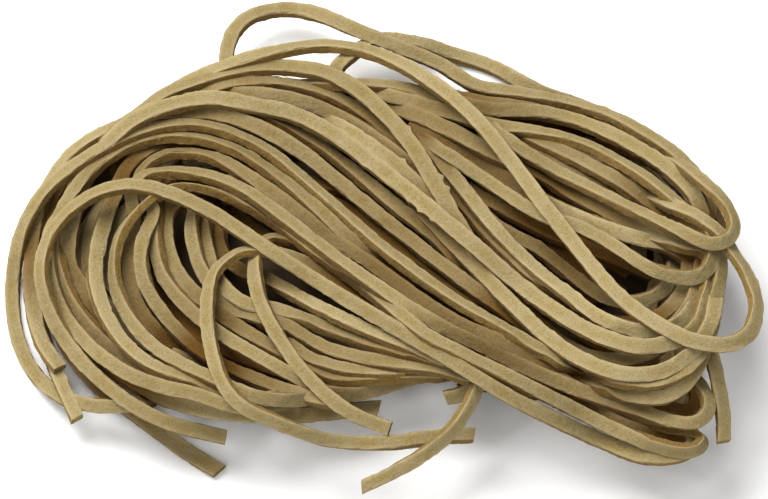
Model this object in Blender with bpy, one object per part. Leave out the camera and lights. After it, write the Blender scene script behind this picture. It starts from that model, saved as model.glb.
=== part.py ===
"""A bundle of natural suede laces, lying flat in a loose skein.

Every lace is a flat strip of leather. The runs that show are laid one over another in the order
that the real bundle has, on inner windings that give the heap its body and its sides. All of it
is fused into one solid that rests on a flat underside.

Units: the constants are millimetres, the scene is in metres, +Z is up and the bundle lies on z = 0.
"""

import math

import bmesh
import bpy
import numpy as np

MM = 0.001

# One lace
LACE_WIDTH = 3.5
LACE_THICKNESS = 2.2
LAY_STEP = 1.90  # height that one lace adds to what it crosses, under the thickness so that they fuse
DEEP_STEP = 1.4  # the same for laces inside the heap, which are pressed together
BEND_RADIUS = 26.0  # how sharply a limp lace bends down beside what it crosses
DIVE_RADIUS = 9.0  # the same where it sinks in under other laces
TILT = 0.7  # how much of the slope under it a lace takes on
TILT_REACH = 12.0  # length over which a lace evens out its tilt
MOST_TILT = 0.55
OVERRUN = 4  # how far a run goes on under the next one before its lace dives
SMOOTH_REACH = 2.0  # length over which a lace evens out its height
LAY_SHARE = 0.48  # how much of its half width rests on what it crosses, with the corners rounded
SEGMENT = 16.0  # length of one facet along a lace
TIGHT_SEGMENT = 5.6  # the same in the tightest turns
FACET_TURN = 0.5  # radians that one facet may turn
BEND_REACH = 4  # points to either side over which a bend is evened out

# The points of the runs below are given as seen from VIEW_ELEVATION above the table, in
# millimetres across and up the view, with VIEW_CENTRE over the bundle's origin
VIEW_ELEVATION = math.radians(60)
VIEW_CENTRE = (96.1, 60.5)
VIEW_FIELD = ((-6, -6), (198, 132))
PLAN_FIELD = ((-105, -80), (105, 80))
GRID = 0.5  # cell of the height maps
HIGHEST = 40.0
LEVEL_STEP = 0.25
LOWEST_SEEN = 0.3
FINE_STEP = 0.35  # step along a lace that leaves no cell out
ACROSS_STEPS = 11
CURVE_STEP = 0.5
PATH_STEP = 1.0
STRAIGHT = 1e-6  # turn per millimetre below which a path counts as straight

# The inner windings and the core, in plan
HEAP_CENTRE = (-3.0, -9.0)
HEAP_OUTLINE = [
    (-86, -12), (-83, 10), (-63, 27), (-30, 38), (8, 40), (44, 36), (74, 23), (84, 2),
    (81, -25), (79, -47), (68, -53), (52, -47), (26, -31), (12, -33), (-3, -35.5), (-22, -42),
    (-50, -41), (-72, -30),
]
WINDINGS = [(1.00, 0.86), (0.95, 0.80), (0.90, 0.76)]  # how far out each starts and ends
WINDING_TURNS = 2.2
WINDING_WAVER = 0.012
WAVERS = 3  # in each turn
WINDING_STEPS = 400
RING_STEPS = 181
OUTLINE_STEP = 2.0
SHOWN_WINDINGS = 2  # the lowest ones show at the sides
CORE_REACH = 0.90
CORE_HEIGHT = 8.5
CORE_SHOULDER = 2.6  # powers that shape the core's dome
CORE_FALL = 0.6
CORE_CELL = 6.0  # facets of the core, in the view
CORE_EDGE = 4.2  # the core ends where the inner laces stand less than this
CORE_SINK = 0.4
SEED = 7

SHARED_GAP = 2.5  # runs whose ends lie closer than this share a point

# The runs of lace: label, order from the lowest up, and the points that each passes through.
# Those under DEEP_ORDER lie inside the heap, where the core stands for them
DEEP_ORDER = 9
RUNS = {
    "U": (42, [
        (56.5, 15.3), (50, 16.9), (44, 18.4), (35, 22.4), (27, 28.2), (19.5, 35.8), (13.3, 45.5),
        (10.4, 57), (13.3, 67), (22, 75.2), (32, 78.2), (42, 76.4), (52, 72), (67, 62.4),
        (82, 52.8), (97, 43.9), (112, 35), (127, 25.8), (142, 18.3), (152, 13.8), (161, 10.6),
        (168, 10.6)
    ]),
    "L7": (50, [
        (60, 109.3), (70, 111.8), (80, 113.2), (90, 112.2), (100, 108.7), (110, 102.6), (119, 95),
        (126, 86.7), (132, 79), (138, 71), (146, 60.7), (154, 51.4), (163, 44.4), (173, 39.7),
        (182, 38.7), (187.2, 41.5), (189, 47.5)
    ]),
    "L7e": (39, [
        (189, 47.5), (188.3, 52), (186, 57.2), (183, 61.6), (179.5, 66.5)
    ]),
    "arc1": (14, [
        (56.7, 108), (56.8, 112), (58.3, 116.3), (61.3, 119.6), (65.5, 121.5), (72, 122.3),
        (80, 120.9), (90, 116.9), (100, 112.9), (110, 108.6), (119, 103.2), (130, 101.2),
        (138, 99.8), (150, 96.6), (160, 91.9), (170, 84.9), (176.6, 76), (177.3, 72), (175.8, 69),
        (172.5, 67.2)
    ]),
    "arc3": (10, [
        (84.7, 108.3), (87.5, 110.6), (91, 113.2), (95.5, 114.9), (104, 114), (113, 111.2),
        (123, 108), (133, 102.8), (137, 101)
    ]),
    "SH": (45, [
        (34, 95.5), (41, 100.8), (51, 104.6), (61, 107.2), (71, 107.8), (81, 106.5), (89, 102.5),
        (96.5, 96), (103.3, 88), (108.5, 79.3), (113, 71.2), (115.5, 67.3)
    ]),
    "Q": (47, [
        (34, 94.8), (43, 98.3), (53, 100), (63, 98.4), (73, 96.2), (83, 91.3), (93, 84),
        (105, 74.6), (117, 64.7), (129, 54.1), (141, 45.5), (150, 40.7), (160, 38), (168, 39.2)
    ]),
    "W1": (36, [
        (105, 72), (113, 64), (125, 51.6), (137, 40.2), (145, 35), (155, 31.4), (165, 31.8),
        (172.5, 36.2), (175, 39.5)
    ]),
    "W2": (35, [
        (150, 30.5), (157, 29.3), (164, 29.3), (171, 32), (174, 34.8), (176, 38)
    ]),
    "W3": (34, [
        (147, 29), (157, 26), (165, 25.3), (170, 27.4), (172.7, 30.3), (174.5, 33.5)
    ]),
    "N1": (29, [
        (50, 101.5), (60, 103.8), (70, 103.8), (80, 101.6), (90, 96.8), (99, 89.7), (103, 85.8)
    ]),
    "K": (29, [
        (110, 80), (116, 73), (122, 66), (130, 58), (134, 54.7)
    ]),
    "N2": (30, [
        (58, 100.8), (68, 100.7), (78, 98.4), (88, 93.9), (98, 87.5), (102, 84)
    ]),
    "N3": (31, [
        (82, 94.5), (90, 90.3), (98, 84.6), (106, 77.8), (110, 74.3)
    ]),
    "O": (27, [
        (62, 95.9), (70, 93.5), (80, 88), (90, 80.5), (100, 72.2), (108, 66), (115, 59)
    ]),
    "P": (30, [
        (15, 32.6), (11.6, 37), (8.8, 44.5), (7.6, 54.5), (8.7, 66), (11.5, 76.5), (17, 85.2),
        (25, 91.1), (35, 94.7), (45, 96), (55, 95.8), (65, 92.6), (75, 86.9), (85, 78.9),
        (95, 70.6), (105, 62.7), (115, 55), (125, 47.7), (133, 42)
    ]),
    "E2b": (28, [
        (13.5, 33), (15, 29.5), (16.8, 25.5), (19.3, 20)
    ]),
    "E1": (26, [
        (36, 24.3), (31, 23.4), (26, 23.3), (21, 23.9), (16, 25.2), (9, 31), (4.5, 40), (3.1, 51),
        (4.6, 63.5), (6.5, 69)
    ]),
    "R1": (34, [
        (6.5, 69), (11.5, 76.8), (19, 83.4), (27, 88.2), (36, 92), (46, 93.6), (55, 92.3),
        (65, 88), (75, 80.5), (85, 71.8), (95, 63.2), (105, 55.6), (115, 48.8), (125, 43),
        (138, 35.3)
    ]),
    "R2": (33, [
        (87, 65.5), (79, 72.6), (70, 79.9), (60, 86.5), (50, 89.9), (40, 90.2), (30, 87),
        (20.5, 79.5), (14.5, 70), (12.5, 66)
    ]),
    "f3": (27, [
        (12.5, 66), (12.6, 56), (16, 46.5), (22.5, 38.3), (31, 32), (40, 28.3), (50, 26),
        (59, 23.2)
    ]),
    "J": (24, [
        (40, 88), (36.5, 86.6), (32, 82.8), (28.5, 75.5), (24.8, 65), (23.9, 55), (26.5, 45.8),
        (32.3, 37.5), (40.5, 32), (50, 29), (57, 25.8), (61, 24.6)
    ]),
    "g0": (22, [
        (23.3, 57), (24, 52), (28, 42), (35, 34.7), (44, 29.5), (54, 26.8)
    ]),
    "S": (31, [
        (35.2, 80.5), (36.8, 83), (39.5, 85), (43, 86.2), (53, 85.3), (63, 80), (73, 72.9),
        (83, 65.3), (93, 58.6), (103, 51.3), (113, 44.8), (122, 40.6)
    ]),
    "T": (32, [
        (36, 80.5), (40, 81.5), (50, 81), (60, 77.6), (70, 70.8), (80, 63.1), (90, 55.9),
        (100, 49.2), (110, 43.4), (120, 38.5), (135, 31.3), (150, 25.3), (160, 21.8), (168, 19.5),
        (173.5, 19.1), (176.7, 21.4), (177, 24.5), (175.5, 27.5), (173.3, 30)
    ]),
    "Ti": (20, [
        (168, 22.3), (172.5, 22.3), (174, 24.5), (173.8, 27), (172.5, 29)
    ]),
    "TV": (28, [
        (78, 62.3), (73, 66), (63, 72.6), (53, 76.9), (43, 77.6), (35, 72.3), (30, 65.3),
        (28.6, 56), (31.6, 46.6), (38.3, 38.3), (46.5, 33), (54, 29.6), (60, 26.8), (64, 25.6)
    ]),
    "V": (44, [
        (108, 40), (112, 38), (122, 33), (132, 28.2), (142, 23.2), (152, 18.2), (162, 14.2),
        (170, 12.2), (174, 12.8), (176, 15)
    ]),
    "V2": (30, [
        (150, 21.5), (155, 19), (160, 17.2), (167, 15.6), (174, 16)
    ]),
    "H": (25, [
        (17.5, 37), (25, 28), (34, 21.3), (46, 12.3), (54.8, 6.9)
    ]),
    "L1": (36, [
        (65, 62), (60, 61.5), (56, 59), (53.3, 55.5), (51.8, 45), (54.2, 33), (57, 27.3),
        (61, 23.2), (67.4, 20), (79.6, 15.3), (86, 14.3), (96, 14), (112, 15.7), (118.6, 15.9)
    ]),
    "L2": (35, [
        (65, 63), (63.8, 58), (65, 50), (70, 40), (77.5, 30), (87, 22), (97.5, 17.5)
    ]),
    "c1": (19, [
        (22.5, 37.5), (30, 31), (40, 25.6), (50, 22.5), (60, 21.2), (75, 21), (85, 22),
        (94.8, 22.6)
    ]),
    "L4": (20, [
        (111.3, 25.3), (115, 26.2), (117.5, 28.5), (117, 32)
    ]),
    "L5": (40, [
        (120.5, 31), (118, 25), (113.5, 18), (107, 12), (98, 6.5), (90.5, 3)
    ]),
    "L6": (30, [
        (180.9, 14.3), (180.8, 20), (179, 31.5), (177.3, 38.5), (178, 46), (179.9, 57),
        (179.5, 64)
    ]),
    "a1": (25, [
        (66, 55.3), (75, 50.2), (85, 45.3), (95, 40.8), (105, 37.2), (112, 34.6)
    ]),
    "a2": (24, [
        (62, 48.5), (68, 47.4), (76, 44.8), (85, 41.4), (95, 38.3), (105, 35.8), (112, 33.9)
    ]),
    "a3": (23, [
        (71, 43.5), (80, 38.2), (90, 35.1), (100, 33.6), (110, 32.4), (118, 29.8)
    ]),
    "a4": (22, [
        (72, 38.8), (78, 34.8), (88, 32), (94, 31.5), (101, 31.6)
    ]),
    "a5": (21, [
        (71, 36), (76, 33.8), (83, 30.1), (93, 30), (104, 30.9), (112, 31)
    ]),
    "a6": (20, [
        (74, 30.6), (80, 27.3), (88, 26.4), (93, 27.2), (103, 30.2), (110, 31.5)
    ]),
    "f1": (22, [
        (18, 69), (17.2, 59), (21.3, 51.8), (25, 46.6)
    ]),
    "f2": (23, [
        (14.5, 61), (15.5, 55.5), (19.6, 47), (25.5, 40), (33, 34), (42, 29.2)
    ]),
    "g3": (20, [
        (34, 71), (32, 58.5), (34.7, 48), (41, 40)
    ]),
    "g4": (22, [
        (38.5, 72), (35.4, 63), (36.3, 54), (41, 46), (47.2, 39), (54, 34.2), (62, 30.5),
        (70, 27.6), (79.5, 24.8)
    ]),
    "g5": (21, [
        (39.8, 72), (38.9, 65.5), (40.9, 56), (47, 48), (54, 42), (62, 37), (70, 32.5)
    ]),
    "g5b": (15, [
        (46, 44), (54, 38.3), (63, 34), (69, 31.6)
    ]),
    "g6": (20, [
        (42.4, 72), (41.6, 65.5), (44.3, 57), (51, 49.3), (59, 43.2), (67, 38.3)
    ]),
    "g7": (19, [
        (48.7, 72), (48.1, 66.5), (50.2, 58), (53.5, 52.5), (58, 48)
    ]),
    "g8": (17, [
        (51.5, 71), (51.3, 65), (53.5, 57), (57.5, 51.5), (62, 48.5)
    ]),
    "g9": (14, [
        (55, 69), (55.2, 64), (56.7, 60), (61, 56.8), (66, 55.3)
    ]),
    "d1": (11, [
        (65, 63), (67.5, 65), (72, 64.5), (80, 60.5), (88, 55)
    ]),
    "d2": (12, [
        (65, 62), (69, 61.5), (75, 59.5), (85, 54), (92, 50)
    ]),
    "M1": (16, [
        (88, 103.6), (98, 103), (110, 100.2), (122, 97.4), (135, 96.5), (147, 93.5), (157, 89),
        (166, 83.3), (173, 76.5), (175, 72.5)
    ]),
    "M2": (17, [
        (97, 100.7), (110, 97.2), (123, 93.4), (135, 91.5), (145, 88.8), (155, 84.1), (165, 77.4),
        (174.5, 68.5)
    ]),
    "M3": (18, [
        (101, 97), (110, 93.2), (120, 88.1), (127, 84.6), (134, 81.8), (142, 76.7), (152, 71.6),
        (162, 66.9), (171, 63.3), (176, 62)
    ]),
    "B7": (14, [
        (134, 89.5), (145, 84.5), (155, 79), (164, 72.8), (169, 69.5)
    ]),
    "B8": (12, [
        (134, 86.3), (143, 82.8), (153, 77.2), (163, 72)
    ]),
    "B2": (41, [
        (125, 91), (131, 86.7), (140, 81.4), (150, 76.4), (160, 71.4), (170, 66.9), (178, 63.9),
        (182, 65), (183.4, 67.8), (182.5, 71.3)
    ]),
    "B2e": (13, [
        (182.5, 71.3), (180, 75.2), (176, 79)
    ]),
    "M5": (38, [
        (108, 88.5), (118, 82), (128, 75.4), (138, 69.8), (143, 68.8), (152, 64.2), (162, 58),
        (167, 56.1), (171, 55.4), (175, 56), (177.3, 58.2), (178.1, 62)
    ]),
    "M6": (26, [
        (112, 88), (118, 85), (124, 81.5), (132, 76.5)
    ]),
    "D2": (37, [
        (106, 90), (111.5, 82.8), (118.5, 74), (126, 65), (134, 57.2), (142, 51), (150, 45.3),
        (158, 42.6), (165, 42.4)
    ]),
    "M7": (33, [
        (122, 70), (126, 67), (134, 62.8), (143, 55.8), (148, 52.3), (153, 50), (158, 49.3),
        (162, 50), (165.5, 52.3), (167.5, 56)
    ]),
    "M8": (24, [
        (164.5, 45.3), (168, 48), (170.7, 51.8), (172, 57)
    ]),
    "M9": (25, [
        (169, 43.5), (172, 47.2), (174, 51.5), (175, 57)
    ]),
    "under1": (12, [
        (99, 101.5), (107, 101.8), (115, 100.3), (123, 98.8), (131, 97.8), (140, 95.5), (150, 92)
    ]),
    "under2": (12, [
        (150, 90), (158, 86.5), (166, 82.5), (172, 78.5), (177, 73.5), (180, 68), (180.5, 62),
        (178, 56)
    ]),
    "deep1": (6, [
        (112, 86), (119, 80.5), (126, 75), (133, 69), (140, 62.5), (147, 56.5), (156, 51)
    ]),
    "deep2": (5, [
        (113, 79), (119, 74), (126, 68), (133, 61), (141, 54.5), (150, 49.5)
    ]),
    "deep3": (4, [
        (124, 82), (130, 77.5), (136, 72.5), (143, 66), (150, 60), (158, 56)
    ]),
    "deep4": (5, [
        (44, 78), (50, 76), (57, 72), (64, 67), (72, 61), (81, 55), (90, 50)
    ]),
    "deep5": (6, [
        (53, 82), (60, 79), (67, 74), (75, 67.5), (84, 61.5), (94, 56)
    ]),
    "SHl": (9, [
        (34, 95.5), (26, 90.5), (18, 82), (13, 72), (11.3, 62), (12.3, 51), (15, 42.5), (17.5, 37)
    ]),
    "Ql": (9, [
        (34, 94.8), (27, 88.5), (21, 79), (18, 69)
    ]),
    "N1l": (8, [
        (50, 101.5), (40, 97), (30, 90.5), (21.5, 81.5), (16, 71), (14.5, 61)
    ]),
    "N2l": (7, [
        (58, 100.8), (48, 97.5), (38, 91), (29.5, 82), (25, 71), (23.3, 57)
    ]),
    "Ol": (6, [
        (62, 95.9), (54, 94), (47, 88), (42.5, 80), (39.8, 72)
    ]),
    "Sl": (16, [
        (35.2, 80.5), (36, 76.5), (38.5, 72)
    ]),
    "Tl": (17, [
        (36, 80.5), (33.6, 77.5), (33.3, 74), (34, 71)
    ]),
    "Ur": (9, [
        (168, 10.6), (172, 12), (173.6, 15), (171, 18), (163, 21), (150, 26), (138, 32), (126, 40),
        (114, 49), (102, 58), (90, 66), (78, 73), (66, 78), (56, 79), (48, 76.5), (42.4, 72)
    ]),
    "g6a": (19, [
        (67, 38.3), (71, 36)
    ]),
    "g5a": (19, [
        (70, 32.5), (74, 30.6)
    ]),
    "g7a": (18, [
        (58, 48), (64, 45.5), (71, 43.5)
    ]),
    "a5r": (8, [
        (112, 31), (122, 30), (135, 26.5), (150, 21.5)
    ]),
    "d2r": (7, [
        (92, 50), (104, 43), (118, 36.5), (134, 29), (144, 24.5)
    ]),
    "TVV": (29, [
        (78, 62.3), (88, 55.2), (98, 47.6), (108, 40)
    ]),
    "Vr": (9, [
        (176, 15), (176.4, 17.5), (173.5, 19.3), (167, 21), (155, 26), (140, 33), (130, 38),
        (122, 40.6)
    ]),
    "Tr": (8, [
        (173.3, 30), (170, 31.5), (160, 34), (148, 39), (135, 48), (122, 58), (110, 66.5),
        (98, 72), (85, 77), (72, 80), (60, 78.5), (52, 76), (48.7, 72)
    ]),
    "L4u": (8, [
        (117, 32), (116, 36), (110, 42), (100, 50), (90, 58), (80, 65), (70, 71), (60, 75),
        (54, 75), (51.5, 71)
    ]),
    "L5u": (8, [
        (120.5, 31), (123, 37), (121, 45), (112, 54), (100, 63), (88, 71), (76, 77), (64, 79),
        (57, 75), (55, 69)
    ]),
    "a2r": (8, [
        (112, 33.9), (124, 32.5), (136, 30.5), (147, 29)
    ]),
    "a1r": (8, [
        (112, 34.6), (124, 34.5), (136, 33), (148, 30), (160, 25.5), (168, 22.3)
    ]),
    "d1r": (8, [
        (88, 55), (98, 49.5), (110, 44), (124, 39), (138, 33.5), (150, 30.5)
    ]),
    "W3u": (9, [
        (174.5, 33.5), (176.5, 39), (177.3, 46), (177.4, 54), (176.8, 62), (176, 68), (175, 72.5)
    ]),
    "W2u": (9, [
        (176, 38), (178.2, 44), (178.7, 52), (178, 60), (176.6, 65), (174.5, 68.5)
    ]),
    "W1u": (9, [
        (175, 39.5), (177.6, 44), (179, 51), (179.6, 58), (178.6, 64), (174, 68), (168, 70),
        (163, 72)
    ]),
    "SHr": (8, [
        (115.5, 67.3), (120, 60), (127, 51), (135, 43), (143, 37), (152, 34.5), (160, 35.3),
        (166, 39), (169, 43.5)
    ]),
    "M9u": (8, [
        (175, 57), (175.6, 62), (173.5, 66.5), (169, 69.5)
    ]),
    "B7l": (8, [
        (134, 89.5), (122, 93.5), (110, 96.5), (98, 98), (86, 98.5)
    ]),
    "Qr": (28, [
        (168, 39.2), (171.8, 40.8), (174.8, 44.5), (176.6, 50), (177.2, 56), (177.6, 60),
        (176, 62)
    ]),
    "Kr": (22, [
        (134, 54.7), (142, 48.6), (150, 44.9), (158, 43.6), (164.5, 45.3)
    ]),
    "M8u": (8, [
        (172, 57), (171.5, 62), (166, 66), (156, 69), (144, 74), (132, 80), (120, 86)
    ]),
    "D2r": (20, [
        (165, 42.4), (169, 43.8), (172.5, 47.5), (174, 53), (173.4, 58), (168, 62.5), (157, 66),
        (146, 70), (138, 73.5), (132, 76.5)
    ]),
    "M7u": (8, [
        (167.5, 56), (167.5, 60.5), (163, 64.5), (154, 67.5), (142, 72), (130, 78)
    ]),
    "M5u": (9, [
        (178.1, 62), (177, 66.5), (172, 70), (162, 74.5), (150, 80), (138, 84.5), (124, 89)
    ]),
    "B2u": (9, [
        (176, 79), (170, 83.5), (160, 88), (148, 92), (134, 95), (120, 96.5)
    ]),
    "arc1r": (9, [
        (172.5, 67.2), (166, 66.3), (156, 69), (144, 74.5), (130, 81), (116, 88)
    ]),
    "L7u": (9, [
        (179.5, 66.5), (174, 70.5), (164, 75), (150, 81.5), (136, 86.5), (120, 92)
    ]),
    "L6u": (9, [
        (179.5, 64), (177, 68.5), (170, 73), (158, 79), (144, 85), (130, 90), (114, 95)
    ]),
    "arc3r": (9, [
        (137, 101), (148, 97), (158, 92), (167, 85.5), (173, 78)
    ]),
    "Pr": (8, [
        (133, 42), (142, 36), (152, 31.5), (163, 29)
    ]),
    "R1r": (8, [
        (138, 35.3), (150, 30), (162, 26.5)
    ]),
    "N2r": (8, [
        (102, 84), (107, 79), (114, 71), (124, 61), (134, 52), (144, 45)
    ]),
    "N3r": (8, [
        (110, 74.3), (118, 67), (128, 57), (138, 49)
    ]),
    "Or": (8, [
        (115, 59), (123, 51), (132, 43.5), (142, 37)
    ]),
    "W1l": (8, [
        (22.5, 37.5), (17.5, 44), (14.5, 53), (14.5, 63), (18, 74), (25, 82.5), (35, 88.5),
        (48, 91), (62, 89.5), (75, 86), (88, 81), (97, 77), (105, 72)
    ]),
    "M5l": (8, [
        (108, 88.5), (99, 93), (89, 97), (77, 99.5), (65, 99.5)
    ]),
    "D2l": (8, [
        (106, 90), (101, 96), (93, 100.5), (82, 102.5), (70, 102.5)
    ]),
    "M7l": (8, [
        (122, 70), (114, 77), (105, 84.5), (95, 90.5), (84, 95)
    ]),
    "M1l": (9, [
        (88, 103.6), (76, 103.5), (64, 101.5), (52, 97), (42, 90.5)
    ]),
    "M2l": (8, [
        (97, 100.7), (86, 102), (74, 101), (62, 97.5), (52, 92)
    ]),
    "M3l": (8, [
        (101, 97), (90, 99.5), (79, 99), (68, 95.5), (58, 90)
    ]),
    "B8l": (8, [
        (134, 86.3), (122, 89.5), (110, 92), (98, 93)
    ]),
    "B2l": (8, [
        (125, 91), (114, 95.5), (102, 99)
    ]),
    "R2r": (8, [
        (87, 65.5), (97, 58), (108, 50), (120, 43.5)
    ]),
    "Jr": (8, [
        (40, 88), (50, 88.2), (60, 84.5), (70, 78), (82, 69), (95, 59), (108, 50)
    ]),
    "L7l": (9, [
        (60, 109.3), (50, 105.5), (40, 99.5), (30, 92), (22, 83.5), (17, 74)
    ]),
    "arc1l": (9, [
        (56.7, 108), (57.5, 102.5), (60, 96), (63, 90)
    ]),
    "arc3l": (9, [
        (84.7, 108.3), (81.5, 103.5), (77, 98), (71, 93)
    ]),
    "E1l": (8, [
        (36, 24.3), (45, 26.5), (56, 30), (66, 33)
    ]),
    "E2u": (8, [
        (13.5, 33), (11.7, 38), (10, 45), (9, 53), (9.6, 63), (12, 73), (17, 82), (25, 88.5),
        (36, 93), (48, 95.5), (60, 97), (72, 96.5), (82, 94.5)
    ]),
    "f1l": (8, [
        (25, 46.6), (30, 40), (38, 34.5), (48, 31), (58, 29.5)
    ]),
    "f2l": (8, [
        (42, 29.2), (52, 26.5), (62, 25.3), (72, 26), (84, 29)
    ]),
    "g0l": (8, [
        (54, 26.8), (64, 26.2), (76, 28), (88, 31)
    ]),
    "f3l": (8, [
        (59, 23.2), (68, 23.6), (80, 26.5), (92, 30)
    ]),
    "Jl": (8, [
        (61, 24.6), (70, 25.5), (82, 28.5)
    ]),
    "TVl": (8, [
        (64, 25.6), (74, 28), (86, 31.5)
    ]),
    "g3l": (8, [
        (41, 40), (48, 35.8), (58, 32.5), (70, 31)
    ]),
    "a4l": (8, [
        (72, 38.8), (63, 44.5), (55, 52), (50, 61), (48, 70), (52, 77), (62, 78)
    ]),
    "g5bl": (8, [
        (46, 44), (39, 51), (36, 60), (37, 70)
    ]),
}
# Each lace as the runs it passes along, from end to end; a minus sign turns a run round
LACES = [
    ["U", "Ur", "g6", "g6a", "a5", "a5r", "V2"], ["-H", "-SHl", "SH", "SHr", "M9", "M9u", "-B7", "B7l"],
    ["P", "Pr"], ["-E2b", "E2u", "N3", "N3r"], ["-L1", "d2", "d2r"],
    ["-L2", "d1", "d1r", "W2", "W2u", "-M2", "M2l"], ["-c1", "W1l", "W1", "W1u", "-B8", "B8l"],
    ["L4", "L4u", "g8", "a2", "a2r", "W3", "W3u", "-M1", "M1l"],
    ["-L5", "L5u", "g9", "a1", "a1r", "Ti"], ["L6", "L6u"], ["-E1l", "E1", "R1", "R1r"],
    ["-R2r", "R2", "f3", "f3l"], ["-Jr", "J", "Jl"],
    ["-TVl", "-TV", "TVV", "V", "Vr", "-S", "Sl", "g4"],
    ["-g3l", "-g3", "-Tl", "T", "Tr", "g7", "g7a", "a3"],
    ["-f1l", "-f1", "-Ql", "Q", "Qr", "-M3", "M3l"],
    ["-f2l", "-f2", "-N1l", "N1", "K", "Kr", "M8", "M8u"], ["-g0l", "-g0", "-N2l", "N2", "N2r"],
    ["-a6", "-g5a", "-g5", "-Ol", "O", "Or"], ["-L7l", "L7", "L7e", "L7u"], ["-arc1l", "arc1", "arc1r"],
    ["-arc3l", "arc3", "arc3r"], ["-D2l", "D2", "D2r", "-M6"], ["-M5l", "M5", "M5u"],
    ["-B2l", "B2", "B2e", "B2u"], ["-M7l", "M7", "M7u"], ["-a4l", "a4"], ["-g5bl", "g5b"], ["deep1"],
    ["deep2"], ["deep3"], ["deep4"], ["deep5"], ["under1"], ["under2"],
]

SIN_VIEW, COS_VIEW = math.sin(VIEW_ELEVATION), math.cos(VIEW_ELEVATION)


def clear_scene():
    for thing in list(bpy.data.objects):
        bpy.data.objects.remove(thing, do_unlink=True)


def suede():
    material = bpy.data.materials.new("natural_suede")
    material.use_nodes = True
    shader = material.node_tree.nodes["Principled BSDF"]
    shader.inputs["Base Color"].default_value = (0.42, 0.31, 0.17, 1.0)
    shader.inputs["Roughness"].default_value = 0.95
    shader.inputs["Metallic"].default_value = 0.0
    return material


def smooth_curve(points, step, closed=False):
    """Centripetal Catmull-Rom curve through the points, read every step or so."""
    points = np.array(points, float)
    if closed:
        points = np.vstack([points[-1], points, points[:2]])
    else:
        points = np.vstack([2 * points[0] - points[1], points, 2 * points[-1] - points[-2]])
    knots = np.concatenate([[0], np.cumsum(np.linalg.norm(np.diff(points, axis=0), axis=1) ** 0.5)])
    pieces = []
    for i in range(1, len(points) - 2):
        a, b, c, d = knots[i - 1:i + 3]
        count = max(int(np.linalg.norm(points[i + 1] - points[i]) / step), 1)
        t = np.linspace(b, c, count, endpoint=False)[:, None]
        p, q, r, s = points[i - 1:i + 3]
        first = (b - t) / (b - a) * p + (t - a) / (b - a) * q
        second = (c - t) / (c - b) * q + (t - b) / (c - b) * r
        third = (d - t) / (d - c) * r + (t - c) / (d - c) * s
        lower = (c - t) / (c - a) * first + (t - a) / (c - a) * second
        upper = (d - t) / (d - b) * second + (t - b) / (d - b) * third
        pieces.append((c - t) / (c - b) * lower + (t - b) / (c - b) * upper)
    pieces.append(points[-2:-1])
    return np.vstack(pieces)


def place_along(curve):
    """How far along a curve each of its points is."""
    return np.concatenate([[0], np.cumsum(np.linalg.norm(np.diff(curve, axis=0), axis=1))])


def evenly(curve, step):
    """The same curve with its points a step apart."""
    place = place_along(curve)
    at = np.linspace(0, place[-1], max(int(round(place[-1] / step)), 2) + 1)
    return np.stack([np.interp(at, place, column) for column in curve.T], axis=1)


def sideways(curve):
    """Unit vectors square to a flat curve, to its left."""
    along = np.gradient(curve, axis=0)
    along /= np.linalg.norm(along, axis=1)[:, None]
    return np.stack([-along[:, 1], along[:, 0]], axis=1)


def blurred(place, values, reach):
    """The values evened out over this reach along a lace."""
    weight = np.exp(-((place[:, None] - place[None, :]) / reach) ** 2 / 2)
    return weight @ values / weight.sum(axis=1)


def sagged(place, base, radius):
    """The lowest heights over base that bend down no faster than an arc of this radius."""
    gap = place[:, None] - place[None, :]
    middle = (base[None, :] - gap ** 2 / (2 * radius)).max(axis=1)
    return blurred(place, middle, SMOOTH_REACH)


class HeightMap:
    """How high the heap stands so far, over a flat field of cells."""

    def __init__(self, field):
        self.low = np.array(field[0], float)
        size = ((np.array(field[1]) - self.low) / GRID).astype(int)
        self.height = np.zeros((size[1], size[0]))

    def cells(self, points):
        index = ((points - self.low) / GRID).astype(int)
        column = np.clip(index[..., 0], 0, self.height.shape[1] - 1)
        row = np.clip(index[..., 1], 0, self.height.shape[0] - 1)
        return row, column

    def centres(self):
        rows, columns = np.indices(self.height.shape)
        return np.stack([columns, rows], axis=-1) * GRID + self.low + GRID / 2

    def lay(self, curve, thickness):
        """Rests a lace on the heap along an even curve: its middle's height, and its slope across.

        The lace tilts with what is under its two sides. Its middle is half a thickness above the
        highest thing under it, and it bends down on either side of that.
        """
        share = np.linspace(-LAY_SHARE, LAY_SHARE, ACROSS_STEPS)
        across = share * LACE_WIDTH
        crown = thickness / 2 * np.sqrt(1 - (share * 2) ** 2)
        place = place_along(curve)
        under = curve[:, None] + across[None, :, None] * sideways(curve)[:, None]
        support = self.height[self.cells(under)]
        left, right = support[:, share > 0].max(axis=1), support[:, share < 0].max(axis=1)
        slope = TILT * blurred(place, left - right, TILT_REACH) / LACE_WIDTH
        slope = np.clip(slope, -MOST_TILT, MOST_TILT)
        base = (support + crown - slope[:, None] * across).max(axis=1)
        middle = sagged(place, base, BEND_RADIUS)
        fine = evenly(np.column_stack([curve, middle, slope]), FINE_STEP)
        over = fine[:, None, :2] + across[None, :, None] * sideways(fine[:, :2])[:, None]
        np.maximum.at(self.height, self.cells(over), fine[:, 2:3] + crown + fine[:, 3:4] * across)
        return np.stack([middle, slope], axis=1)


def heap_ring(turn, reach):
    """Points of the heap's outline at the given turns, drawn in towards its centre by reach."""
    outline = evenly(smooth_curve(HEAP_OUTLINE + HEAP_OUTLINE[:1], OUTLINE_STEP), OUTLINE_STEP)
    at = np.linspace(0, 1, len(outline))
    ring = np.stack([np.interp(turn % 1.0, at, column) for column in outline.T], axis=1)
    centre = np.array(HEAP_CENTRE)
    return centre + (ring - centre) * np.asarray(reach)[..., None]


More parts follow.
